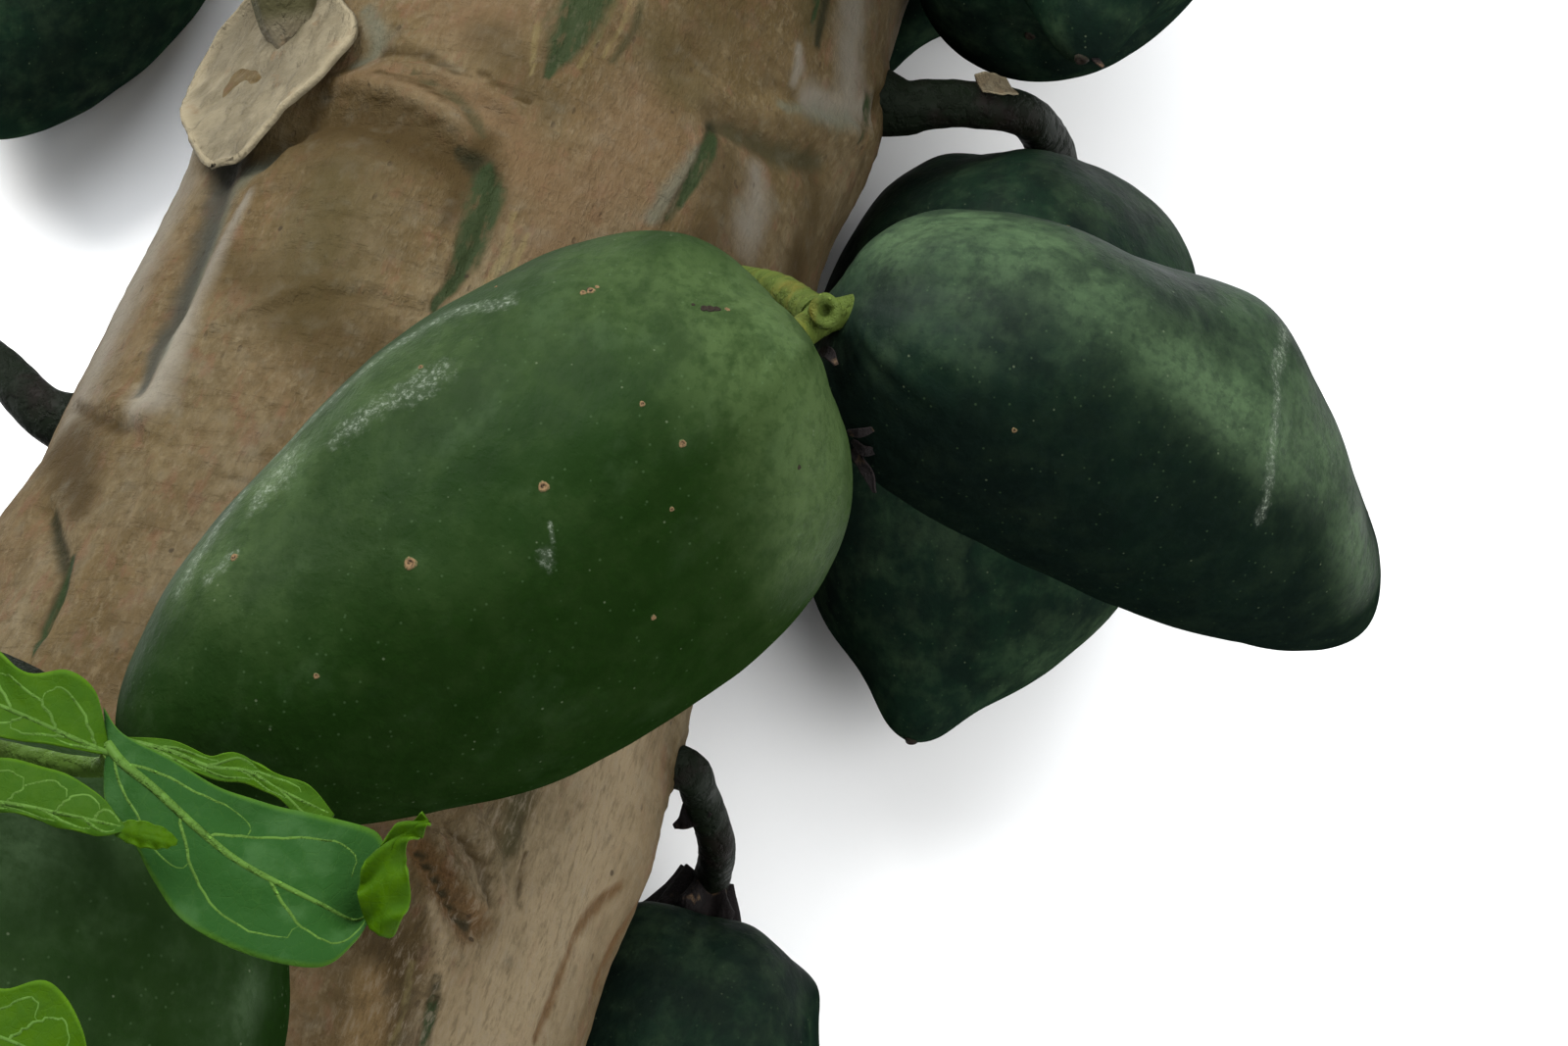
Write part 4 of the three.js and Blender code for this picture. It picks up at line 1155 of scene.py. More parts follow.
class Tree:
    """Adds nodes to a node tree. A value that is a socket is linked, any other one is set."""

    def __init__(self, tree):
        self.tree = tree

    def add(self, kind, inputs=None, **settings):
        node = self.tree.nodes.new(kind)
        for key, value in settings.items():
            setattr(node, key, value)
        for key, value in (inputs or {}).items():
            self.put(node.inputs[key], value)
        return node

    def put(self, socket, value):
        if isinstance(value, bpy.types.NodeSocket):
            self.tree.links.new(value, socket)
        elif socket.type == "RGBA" and len(value) == 3:
            socket.default_value = (*value, 1)
        else:
            socket.default_value = value

    def math(self, operation, first, second=0.0, clamp=False):
        settings = {"operation": operation, "use_clamp": clamp}
        return self.add("ShaderNodeMath", {0: first, 1: second}, **settings).outputs[0]

    def vector(self, operation, first, second=(0, 0, 0), result="Vector"):
        return self.add("ShaderNodeVectorMath", {0: first, 1: second}, operation=operation).outputs[result]

    def mix(self, factor, first, second):
        return self.add("ShaderNodeMix", {0: factor, 6: first, 7: second}, data_type="RGBA").outputs[2]

    def tint(self, under, over, mask, share):
        """Lays one colour over another, as strongly as the mask times the share."""
        return self.mix(self.math("MULTIPLY", mask, share), under, over)

    def total(self, parts):
        """The sum of the values, each times its share."""
        result = 0.0
        for value, share in parts:
            result = self.math("ADD", result, self.math("MULTIPLY", value, share))
        return result

    def range(self, value, low, high, to_low=0.0, to_high=1.0):
        inputs = {0: value, 1: low, 2: high, 3: to_low, 4: to_high}
        return self.add("ShaderNodeMapRange", inputs, interpolation_type="SMOOTHSTEP").outputs[0]

    def passes(self, value, level, softness):
        """A mask that rises from 0 to 1 where the value passes the level."""
        low, high = (self.math(kind, level, softness) for kind in ("SUBTRACT", "ADD"))
        return self.range(value, low, high)

    def noise(self, vector, scale, detail=3.0, roughness=0.55):
        inputs = {"Vector": vector, "Scale": scale, "Detail": detail, "Roughness": roughness}
        return self.add("ShaderNodeTexNoise", inputs).outputs[0]

    def stretch(self, vector, scale):
        return self.add("ShaderNodeMapping", {"Vector": vector, "Scale": scale}).outputs[0]

    def field(self, name):
        return self.add("ShaderNodeAttribute", attribute_name=name).outputs["Fac"]

    def kept(self, name, kind):
        """What a geometry tree reads from a mesh attribute."""
        return self.add("GeometryNodeInputNamedAttribute", {"Name": name}, data_type=kind).outputs[0]

    def group(self, group, inputs):
        return self.add("ShaderNodeGroup", inputs, node_tree=group).outputs[0]


def node_group(name, kind, inputs, output):
    """A new node group: its inner tree, its inputs by name and the socket of its one output."""
    group = bpy.data.node_groups.new(name, kind)
    for label, sort, *value in inputs:
        socket = group.interface.new_socket(label, in_out="INPUT", socket_type=f"NodeSocket{sort}")
        if value:
            socket.default_value = value[0]
    group.interface.new_socket(output[0], in_out="OUTPUT", socket_type=f"NodeSocket{output[1]}")
    tree = Tree(group)
    return tree, tree.add("NodeGroupInput").outputs, tree.add("NodeGroupOutput").inputs[0]


def blotches_group():
    """Soft patches: a mask that is 1 where the noise passes a level."""
    tree, given, mask = node_group("blotches", "ShaderNodeTree", (
        ("Vector", "Vector"), ("Scale", "Float", 20.0), ("Detail", "Float", 4.0),
        ("Level", "Float", 0.5), ("Softness", "Float", 0.1)), ("Mask", "Float"))
    value = tree.noise(given["Vector"], given["Scale"], given["Detail"], 0.6)
    tree.put(mask, tree.passes(value, given["Level"], given["Softness"]))
    return tree.tree


def specks_group():
    """Small scattered dots, only some of the cells, with a soft edge."""
    tree, given, mask = node_group("specks", "ShaderNodeTree", (
        ("Vector", "Vector"), ("Scale", "Float", 300.0), ("Size", "Float", 0.2),
        ("Share", "Float", 0.3)), ("Mask", "Float"))
    cells = tree.add("ShaderNodeTexVoronoi", {"Vector": given["Vector"], "Scale": given["Scale"]}).outputs
    dot = tree.range(cells["Distance"], tree.math("MULTIPLY", given["Size"], 0.5), given["Size"], 1.0, 0.0)
    pick = tree.add("ShaderNodeSeparateColor", {0: cells["Color"]}).outputs[0]
    tree.put(mask, tree.math("MULTIPLY", dot, tree.math("LESS_THAN", pick, given["Share"])))
    return tree.tree


def ragged_group():
    """Turns a soft field into a mask with a ragged edge; painted light and shade are laid through it too.
    """
    tree, given, mask = node_group("ragged edge", "ShaderNodeTree", (
        ("Vector", "Vector"), ("Field", "Float", 0.0), ("Scale", "Float", 160.0),
        ("Raggedness", "Float", 0.3), ("Softness", "Float", 0.06)), ("Mask", "Float"))
    wander = tree.math("SUBTRACT", tree.noise(given["Vector"], given["Scale"], 4.0), 0.5)
    level = tree.math("ADD", given["Field"], tree.math("MULTIPLY", wander, given["Raggedness"]))
    tree.put(mask, tree.passes(level, 0.5, given["Softness"]))
    return tree.tree


def streak_group():
    """How many half widths each place is from the line between two points."""
    tree, given, distance = node_group("streak", "ShaderNodeTree", (
        ("Vector", "Vector"), ("Start", "Vector"), ("End", "Vector"),
        ("Width", "Float", 0.001)), ("Distance", "Float"))
    reach = tree.vector("SUBTRACT", given["Vector"], given["Start"])
    run = tree.vector("SUBTRACT", given["End"], given["Start"])
    over, square = (tree.vector("DOT_PRODUCT", way, run, "Value") for way in (reach, run))
    share = tree.math("DIVIDE", over, square, clamp=True)
    along = tree.add("ShaderNodeVectorMath", {0: run, "Scale": share}, operation="SCALE").outputs[0]
    away = tree.vector("LENGTH", tree.vector("SUBTRACT", reach, along), result="Value")
    tree.put(distance, tree.math("DIVIDE", away, given["Width"]))
    return tree.tree


EFFECTS = {}


def effect(maker):
    """A shared effect group, made when it is first asked for."""
    if maker not in EFFECTS:
        EFFECTS[maker] = maker()
    return EFFECTS[maker]


def new_material(name):
    """A material with its tree, its shader and Object coordinates."""
    material = bpy.data.materials.new(name)
    material.use_nodes = True
    tree = Tree(material.node_tree)
    shader = material.node_tree.nodes["Principled BSDF"]
    coords = tree.add("ShaderNodeTexCoord").outputs["Object"]
    return material, tree, shader, coords


def blotch(tree, vector, scale, level=0.5, softness=0.1, detail=4.0):
    inputs = {"Vector": vector, "Scale": scale, "Level": level, "Softness": softness, "Detail": detail}
    return tree.group(effect(blotches_group), inputs)


def speck(tree, vector, scale, size, share):
    inputs = {"Vector": vector, "Scale": scale, "Size": size, "Share": share}
    return tree.group(effect(specks_group), inputs)


def finish_material(tree, shader, colour, roughness, specular, height=None, depth=0.0):
    """Gives a material's shader its colour, roughness, gloss and relief."""
    surface = {"Base Color": colour, "Roughness": roughness, "Specular IOR Level": specular}
    for name, value in surface.items():
        tree.put(shader.inputs[name], value)
    if height is not None:
        relief = tree.add("ShaderNodeBump", {"Height": height, "Distance": depth, "Strength": 1.0})
        tree.put(shader.inputs["Normal"], relief.outputs[0])


def dimmed(colour, share):
    return tuple(share * part for part in colour)


def bark_material(settings):
    material, tree, shader, coords = new_material("bark")
    upright = tree.stretch(coords, (1, 0.4, 1))
    colour = tree.mix(blotch(tree, coords, 14.0, 0.5, 0.2, 5.0), settings.tan, settings.pink)
    marks = {}
    for name, (scale, *grain, low, high, share, over, _) in BARK_MARKS.items():
        marks[name] = tree.range(tree.noise(tree.stretch(coords, scale), *grain), low, high)
        colour = tree.tint(colour, over or settings.grey, marks[name], share)
    rust = blotch(tree, tree.stretch(coords, (1, 0.6, 1)), 170.0, 0.6, 0.07, 4.0)
    colour = tree.tint(colour, BARK_RUST, rust, 0.45)
    green = tree.field("green")

    def lay(under, field, vector, stain_and_painted_light, strength, scale, raggedness, softness):
        inputs = {"Vector": vector, "Field": field, "Scale": scale}
        inputs |= {"Raggedness": raggedness, "Softness": softness}
        mask = tree.group(effect(ragged_group), inputs)
        return tree.mix(tree.math("MULTIPLY", mask, strength), under, stain_and_painted_light), mask

    # Lays the bark's marks in turn, painted light and shade among them
    for name, values in STAIN_AND_PAINTED_LIGHT_COLOURS.items():
        if name == "green":
            colour = lay(colour, tree.math("ADD", green, SPLIT_RIM_SPREAD), upright, *SPLIT_RIM)[0]
            broken = tree.range(tree.noise(upright, 330.0, 4.0), 0.34, 0.5, 0.45, 1.0)
            strength = tree.math("MULTIPLY", broken, values[1])
            colour, split = lay(colour, green, upright, settings.green, strength, *values[2:])
        else:
            colour = lay(colour, tree.field(name), coords, *values)[0]
    corky = tree.field("corky")
    flakes = tree.noise(tree.stretch(coords, (1, 0.28, 1)), 560.0, 6.0, 0.72)
    light = tree.math("MULTIPLY", corky, tree.range(flakes, 0.5, 0.66, 0.0, 0.55))
    gaps = tree.math("MULTIPLY", corky, tree.range(flakes, 0.34, 0.52, 0.5, 0.0))
    colour = tree.mix(light, colour, CORK_LIGHT)
    colour = tree.mix(gaps, colour, CORK_GAP)
    dots = speck(tree, tree.stretch(coords, (1, 0.5, 1)), 260.0, 0.2, 0.12)
    colour = tree.tint(colour, BARK_DOT, dots, 0.4)
    pits = speck(tree, coords, 95.0, 0.1, 0.15)
    colour = tree.tint(colour, BARK_PIT, pits, 0.7)
    roughness = tree.range(tree.math("ADD", marks["dashes"], split), 0.0, 2.0, 0.8, 0.6)
    rises = [(marks[name], values[-1]) for name, values in BARK_MARKS.items() if values[-1]]
    rises += [(tree.math("MULTIPLY", corky, flakes), 2.0), (dots, -0.8), (split, -0.7)]
    finish_material(tree, shader, colour, roughness, 0.05, tree.total(rises), 0.0003)
    return material


def cut_material():
    """The cut face: pale watery flesh with a fibrous rim and a brown pith."""
    material, tree, shader, coords = new_material("cut stem")
    share = tree.field("share")
    colour = tree.mix(tree.range(share, 0.2, 0.34), CUT_PITH, CUT_FLESH)
    rays = tree.noise(coords, 340.0, 4.0)
    colour = tree.mix(tree.math("MULTIPLY", tree.range(rays, 0.45, 0.62), 0.4), colour, CUT_FIBRE)
    rings = tree.math("SINE", tree.total(((share, 70.0), (rays, 3.0))))
    colour = tree.mix(tree.range(rings, 0.2, 1.0, 0.0, 0.25), colour, CUT_RING)
    colour = tree.mix(tree.range(share, 0.9, 0.97), colour, CUT_GREEN)
    colour = tree.mix(tree.range(share, 0.975, 0.99), colour, CUT_RIM)
    finish_material(tree, shader, colour, 0.62, 0.5, tree.total(((rays, 1.0), (rings, 0.3))), 0.0005)
    return material


def fruit_material(name, tone, settings, streaks):
    """Waxy skin with patches of three greens, pale flecks, bloom and milk streaks, with painted sheen, a
    painted rim highlight and painted shade.
    """
    material, tree, shader, coords = new_material(name)
    deep, middle, light = (getattr(settings, key) for key in FRUIT_TONES[tone][:3])
    painted_shade_depth = FRUIT_TONES[tone][3]
    patches = tree.range(tree.noise(coords, 26.0, 4.0), 0.32, 0.66)
    colour = tree.mix(patches, deep, middle)
    drift = tree.math("SUBTRACT", tree.noise(coords, 38.0, 5.0), 0.5)
    wander = tree.total(((tree.field("glow"), 1.0), (drift, 0.7)))
    colour = tree.mix(tree.range(wander, 0.3, 1.0, 0.0, 0.85), colour, light)
    cloud = tree.range(tree.noise(coords, 120.0, 6.0, 0.6), 0.4, 0.7)
    colour = tree.tint(colour, light, cloud, 0.14)
    # Pale bloom and painted sheen lighten the skin
    bloom = tree.field("bloom")
    uneven = tree.noise(tree.stretch(coords, (0.5, 1, 1)), 240.0, 6.0, 0.65)
    colour = tree.mix(tree.math("MULTIPLY", bloom, tree.range(uneven, 0.36, 0.6, 0.6, 1.0)), colour, light)
    dapple = tree.range(tree.noise(tree.stretch(coords, (1, 0.7, 1)), 75.0, 6.0, 0.65), 0.44, 0.62)
    dappled = tree.math("MULTIPLY", dapple, tree.range(bloom, 0.1, 0.8, 0.6, 0.25))
    colour = tree.mix(dappled, colour, dimmed(deep, 0.8))
    veil = blotch(tree, tree.stretch(coords, (1, 0.5, 1)), 75.0, 0.6, 0.08, 7.0)
    colour = tree.tint(colour, settings.bloom_and_sheen_green, veil, 0.12)
    # Painted shade: skin turned from the light darkens towards half the deep green
    sunny = tree.field("sunny")
    colour = tree.mix(tree.range(sunny, 0.05, 0.85, painted_shade_depth, 0.0), colour, dimmed(deep, 0.5))
    shade = blotch(tree, coords, 420.0, 0.56, 0.08, 3.0)
    colour = tree.tint(colour, deep, shade, 0.3)
    dots = speck(tree, coords, 520.0, 0.2, 0.3)
    colour = tree.tint(colour, settings.bloom_and_sheen_green, dots, 0.2)
    pores = speck(tree, coords, 260.0, 0.1, 0.25)
    colour = tree.tint(colour, FRUIT_PORE, pores, 0.3)
    nearest = None
    for width, start, end in streaks:
        inputs = {"Vector": coords, "Start": start, "End": end, "Width": width * MM}
        away = tree.group(effect(streak_group), inputs)
        nearest = away if nearest is None else tree.math("MINIMUM", nearest, away)
    roughness = tree.range(tree.math("ADD", patches, cloud), 0.0, 2.0, 0.52, 0.62)
    if nearest is not None:
        ragged = tree.math("ADD", nearest, tree.math("MULTIPLY", tree.noise(coords, 300.0, 5.0, 0.7), 4.4))
        # Dried milk, and on the front fruit's rim a painted highlight, as pale chalky specks
        milk_and_rim_light = tree.range(ragged, 1.8, 4.6, 1.0, 0.0)
        grain = tree.range(tree.noise(coords, 900.0, 5.0, 0.75), 0.48, 0.64, 0.08, 0.62)
        chalk_and_rim_light = tree.math("MULTIPLY", milk_and_rim_light, grain)
        colour = tree.mix(chalk_and_rim_light, colour, DRY_MILK_AND_RIM_LIGHT)
        roughness = tree.math("ADD", roughness, tree.math("MULTIPLY", chalk_and_rim_light, 0.2))
    # Gloss is kept to the skin that faces the light
    gloss = tree.range(sunny, 0.2, 0.95, 0.0, 0.045)
    lumps = tree.noise(tree.stretch(coords, (1, 0.7, 1)), 62.0, 5.0, 0.55)
    rough_bloom_and_sheen = tree.math("MULTIPLY", bloom, uneven)
    rises = ((cloud, 0.5), (shade, 0.3), (lumps, 9.0), (pores, -0.5), (rough_bloom_and_sheen, 6.0))
    finish_material(tree, shader, colour, roughness, gloss, tree.total(rises), 0.00015)
    return material


def stalk_material(name, green, brown, share=0.5):
    material, tree, shader, coords = new_material(name)
    patches = blotch(tree, coords, 70.0, 1 - share, 0.12, 5.0)
    colour = tree.mix(patches, green, brown)
    lines = blotch(tree, coords, 260.0, 0.52, 0.1, 4.0)
    colour = tree.tint(colour, dimmed(green, 0.4), lines, 0.3)
    dots = speck(tree, coords, 420.0, 0.22, 0.35)
    colour = tree.tint(colour, dimmed(green, 2.2), dots, 0.4)
    height = tree.total(((lines, 1.0), (dots, 0.5)))
    finish_material(tree, shader, colour, tree.range(lines, 0.0, 1.0, 0.5, 0.66), 0.05, height, 0.0004)
    return material


def dried_material(name, base, dark):
    """Papery dried tissue with wrinkles, brown edges and grey patches."""
    material, tree, shader, coords = new_material(name)
    patches = blotch(tree, coords, 60.0, 0.5, 0.14, 5.0)
    colour = tree.mix(patches, base, dimmed(base, 0.72))
    creases = blotch(tree, tree.stretch(coords, (1, 0.35, 1)), 190.0, 0.55, 0.07, 5.0)
    blots = tree.range(tree.noise(coords, 110.0, 6.0, 0.65), 0.42, 0.66)
    colour = tree.tint(colour, dark, blots, 0.5)
    colour = tree.tint(colour, dark, creases, 0.4)
    rust = blotch(tree, coords, 130.0, 0.64, 0.05, 4.0)
    colour = tree.tint(colour, DRIED_RUST, rust, 0.5)
    rim = tree.range(tree.field("rim"), 0.8, 1.0)
    colour = tree.tint(colour, dimmed(base, 1.5), rim, 0.6)
    # Dark olive round the stub, partly painted shade
    moss = tree.range(tree.field("moss"), 0.2, 0.9)
    colour = tree.tint(colour, DRIED_OLIVE_AND_SHADE, moss, 0.9)
    height = tree.math("ADD", creases, tree.noise(coords, 700.0, 3.0))
    finish_material(tree, shader, colour, 0.85, 0.16, height, 0.0005)
    return material


def leaf_material(settings):
    material, tree, shader, coords = new_material("leaf")
    uneven = tree.math("SUBTRACT", tree.noise(coords, 60.0, 3.0), 0.5)
    tone = tree.total(((tree.field("tone"), 1.0), (uneven, 0.35)))
    colour = tree.mix(tree.range(tone, 0.0, 1.0), settings.dark, settings.bright)
    # Painted rim light: the lobes' edges are lighter
    edge = tree.range(tree.field("rim"), 0.9, 1.0)
    colour = tree.tint(colour, LEAF_RIM_LIGHT, edge, 0.3)
    # Painted sheen in patches, strongest on the dark lobe
    wax = tree.range(tree.noise(coords, 110.0, 5.0), 0.5, 0.68)
    sheen_share = tree.math("MULTIPLY", wax, tree.range(tone, 0.2, 0.8, 0.36, 0.06))
    colour = tree.mix(sheen_share, colour, LEAF_SHEEN)
    net = tree.add("ShaderNodeTexVoronoi", {"Vector": coords, "Scale": 430.0}, feature="DISTANCE_TO_EDGE")
    lines = tree.range(net.outputs[0], 0.0, 0.05, 1.0, 0.0)
    colour = tree.tint(colour, settings.vein, lines, 0.07)
    cells = blotch(tree, coords, 300.0, 0.5, 0.15)
    colour = tree.tint(colour, settings.dark, cells, 0.2)
    height = tree.total(((cells, 1.0), (lines, -0.3)))
    finish_material(tree, shader, colour, tree.range(cells, 0.0, 1.0, 0.5, 0.6), 0.02, height, 0.0001)
    return material


def spot_material(name, crust, border):
    material, tree, shader, coords = new_material(name)
    share = tree.field("share")
    colour = tree.mix(tree.range(share, 0.42, 0.68), SPOT_MIDDLE, crust)
    colour = tree.mix(tree.range(share, 0.75, 1.0), colour, border)
    grain = tree.range(tree.noise(coords, 1800.0), 0.35, 0.65)
    finish_material(tree, shader, tree.mix(grain, colour, dimmed(crust, 1.5)), 0.8, 0.1)
    return material


def geometry_tree(name, inputs):
    """An empty geometry tree with the named inputs between its Geometry and its Material."""
    shape = ("Geometry", "Geometry")
    return node_group(name, "GeometryNodeTree", (shape, *inputs, ("Material", "Material")), shape)


def finish_tree(tree, geometry, material, out):
    geometry = tree.add("GeometryNodeSetShadeSmooth", {"Geometry": geometry}).outputs[0]
    geometry = tree.add("GeometryNodeRealizeInstances", {"Geometry": geometry}).outputs[0]
    geometry = tree.add("GeometryNodeSetMaterial", {"Geometry": geometry, "Material": material}).outputs[0]
    tree.put(out, geometry)
    return tree.tree


def limb_tree():
    """Round limbs along lines, as thick as the lines' radius attribute says, with wrinkles."""
    tree, given, out = geometry_tree("limbs", (
        ("Sides", "Int", 16), ("Wrinkle", "Float", 0.0), ("Wrinkle scale", "Float", 200.0)))
    circle = {"Resolution": given["Sides"], "Radius": 1.0}
    limb = tree.add("GeometryNodeCurveToMesh", {
        "Curve": tree.add("GeometryNodeMeshToCurve", {"Mesh": given["Geometry"]}).outputs[0],
        "Profile Curve": tree.add("GeometryNodeCurvePrimitiveCircle", circle).outputs[0],
        "Scale": tree.kept("radius", "FLOAT"),
        "Fill Caps": True}).outputs[0]
    place = tree.add("GeometryNodeInputPosition").outputs[0]
    facing = tree.add("GeometryNodeInputNormal").outputs[0]
    lumps = tree.math("SUBTRACT", tree.noise(place, given["Wrinkle scale"], 3.0), 0.5)
    push = tree.math("MULTIPLY", lumps, given["Wrinkle"])
    offset = tree.add("ShaderNodeVectorMath", {0: facing, "Scale": push}, operation="SCALE").outputs[0]
    limb = tree.add("GeometryNodeSetPosition", {"Geometry": limb, "Offset": offset}).outputs[0]
    return finish_tree(tree, limb, given["Material"], out)


def spots_tree():
    """Sets one little scab on each point, facing the way the point's attribute says."""
    tree, given, out = geometry_tree("spots", (("Scab", "Object"),))
    facing = tree.kept("facing", "FLOAT_VECTOR")
    scab = tree.add("GeometryNodeObjectInfo", {"Object": given["Scab"]}, transform_space="ORIGINAL")
    marks = tree.add("GeometryNodeInstanceOnPoints", {
        "Points": given["Geometry"],
        "Instance": scab.outputs["Geometry"],
        "Rotation": tree.add("FunctionNodeAlignRotationToVector", {"Vector": facing}, axis="Z").outputs[0],
        "Scale": tree.kept("size", "FLOAT")}).outputs[0]
    return finish_tree(tree, marks, given["Material"], out)


def grow(item, group, values):
    """Runs a geometry tree on an object and keeps the result as its plain mesh."""
    modifier = item.modifiers.new("grow", "NODES")
    modifier.node_group = group
    named = {s.name: s.identifier for s in group.interface.items_tree if s.in_out == "INPUT"}
    for name, value in values.items():
        modifier[named[name]] = value
    item.update_tag()
    bpy.context.view_layer.update()
    grown = item.evaluated_get(bpy.context.evaluated_depsgraph_get())
    mesh = bpy.data.meshes.new_from_object(grown)
    item.modifiers.remove(modifier)
    old = item.data
    item.data = mesh
    bpy.data.meshes.remove(old)
    mesh.name = item.name
    return item


def line_object(name, lines):
    """A mesh of bare lines, each given as points in millimetres and a radius at each."""
    points, edges, radii = [], [], []
    for line, radius in lines:
        edges += [(len(points) + i, len(points) + i + 1) for i in range(len(line) - 1)]
        points += list(line)
        radii += list(np.broadcast_to(radius, len(line)) * MM)
    return mesh_object(name, points, edges, [], {"radius": radii})


def limb_radii(radii, count):
    """Radii that ease from the first value through the second, halfway, to the third."""
    t = np.linspace(0, 1, count)
    ease = np.abs(2 * t - 1) ** 2
    return radii[1] + (np.where(t < 0.5, radii[0], radii[2]) - radii[1]) * ease


def flared(points, radii, root=0.25, head=0.2):
    """Widens a limb where it leaves the stem and where it meets the fruit."""
    length = run_lengths(points)
    at_root = root * np.exp(-(((length - STALK_SUNK) / 8) ** 2))
    at_head = head * np.exp(-(((length[-1] - length) / 7) ** 2))
    return radii * (1 + at_root + at_head)


class PAWPAW_OT_bark(bpy.types.Operator):
    """Covers the stem with bark and dresses its two cut faces"""

    bl_idname = "pawpaw.bark"
    bl_label = "Bark"

    def execute(self, context):
        settings = context.scene.pawpaw_stem
        y = np.interp(np.linspace(0, 1, BARK_ROWS), BARK_ROW_SHARES, BARK_ROW_STOPS)[:, None]
        t = np.linspace(-math.pi, math.pi, BARK_AROUND, endpoint=False)[None]
        angle = np.degrees(t - BARK_CLOSER * np.sin(t))
        y, angle = np.broadcast_arrays(y, angle)
        height, stains_and_painted_light = bark_form(y, angle)
        side = stem_point(y, angle, height * settings.relief)
        shares = np.array(CUT_RINGS)
        dish = PITH_DEPTH * np.clip(1 - (shares / PITH_SHARE) ** 2, 0, 1)
        faces = []
        for rim, inward in ((side[0], 1), (side[-1], -1)):
            middle = rim.mean(0)
            disc = middle + (rim - middle) * shares[:, None, None]
            disc[..., 1] += inward * dish[:, None]
            faces.append(disc)
        rings = np.concatenate([faces[0], side, faces[1][::-1]])
        blank = np.zeros((len(shares), BARK_AROUND))
        fields = {name: np.concatenate([blank, field, blank]) for name, field in stains_and_painted_light.items()}
        edge = np.ones(BARK_ROWS)
        fields["share"] = np.concatenate([shares, edge, shares[::-1]])[:, None]
        kinds = np.repeat([1, 0, 1], [len(shares), BARK_ROWS - 1, len(shares) + 1])
        materials = [bark_material(settings), cut_material()]
        bark = make_object("stem_bark", [ring_shape(rings, fields, kinds)], materials)
        dress(bark, "bark", "trunk")
        return {"FINISHED"}


class PAWPAW_OT_fruits(bpy.types.Operator):
    """Gives each fruit its skin, with its furrows, dents, tip and marks"""

    bl_idname = "pawpaw.fruits"
    bl_label = "Fruits"

    def execute(self, context):
        settings = context.scene.pawpaw_fruit
        materials = {}
        for name, fruit in FRUITS.items():
            tone = fruit["tone"]
            rows, around = FRUIT_ROWS[tone]
            rings, along = fruit_rings(name, fruit, rows, around)
            glow = FRUIT_TONES[tone][4] * np.clip(1 - along / 0.4, 0, 1) ** 1.4
            if tone == "front":
                away = np.linalg.norm(rings - FRONT_GLOW[0], axis=-1) / FRONT_GLOW[1]
                glow = np.maximum(glow, np.exp(-(away**2)))
            if tone not in materials:
                streaks = streak_runs(name, rings)
                materials[tone] = fruit_material(f"fruit skin {tone}", tone, settings, streaks)
            # How much the skin faces the light, for the material's painted shade
            sunny = skin_facing(rings) @ unit(SUNNY)
            bloom = np.zeros(along.shape)
            for point, radius, strength in BLOOM_AND_SHEEN.get(name, ()):
                away = np.linalg.norm(rings - point, axis=-1) / radius
                bloom = 1 - (1 - bloom) * (1 - strength * np.exp(-(away**2)))
            # Bloom and painted sheen also hold off the painted shade
            fields = {"glow": glow, "sunny": np.maximum(sunny, bloom), "bloom": bloom}
            skin = make_object(f"{name}_skin", [ring_shape(rings, fields)], [materials[tone]])
            dress(skin, "fruit_skin", name)
        return {"FINISHED"}


class PAWPAW_OT_spots(bpy.types.Operator):
    """Sets corky spots on the fruits and a dark scar on each tip"""

    bl_idname = "pawpaw.spots"
    bl_label = "Corky spots"

    def execute(self, context):
        settings = context.scene.pawpaw_fruit
        corky, tips = [], []
        draw = np.random.default_rng(settings.spot_seed)
        for name, fruit in FRUITS.items():
            rings = fruit_rings(name, fruit, *FRUIT_ROWS[fruit["tone"]])[0]
            outward = skin_facing(rings)
            for marks, wanted in ((corky, SPOTS), (tips, DARK_SCABS)):
                marks += [(*on_skin(rings, outward, point), size) for point, size in wanted.get(name, ())]
            for _ in range(settings.spots):
                row = draw.integers(rings.shape[0] // 5, rings.shape[0] * 4 // 5)
                spot = draw.integers(rings.shape[1])
                corky.append((rings[row, spot], outward[row, spot], draw.uniform(0.25, 0.6)))
            tips.append((rings[-1].mean(0), fruit_axes(fruit)[1], 1.6))
        turn = turns(SCAB_AROUND)[None]
        wide, high = np.array(SCAB_RINGS).T[..., None]
        radius = wide * (1 + 0.12 * np.sin(3 * turn + 1))
        height = high + 0 * turn
        rings = np.stack([radius * np.cos(turn), radius * np.sin(turn), height], -1)
        shape = ring_shape(rings, {"share": np.minimum(radius, 1)})
        scab = make_object("scab", [shape], [])
        scab.data.vertices.foreach_set("co", (shape[0] * MM).astype(np.float32).ravel())
        tree = spots_tree()
        cork = spot_material("corky spot", (0.085, 0.054, 0.027), (0.035, 0.050, 0.018))
        dark = spot_material("tip scar", (0.010, 0.007, 0.005), (0.006, 0.008, 0.004))
        for name, marks, material in (("corky_spots", corky, cork), ("tip_scars", tips, dark)):
            places, facings, sizes = zip(*marks)
            item = mesh_object(name, places, [], [], {"facing": facings, "size": sizes})
            grow(item, tree, {"Scab": scab, "Material": material})
            dress(item, "dried_base")
        bpy.data.objects.remove(scab)
        return {"FINISHED"}


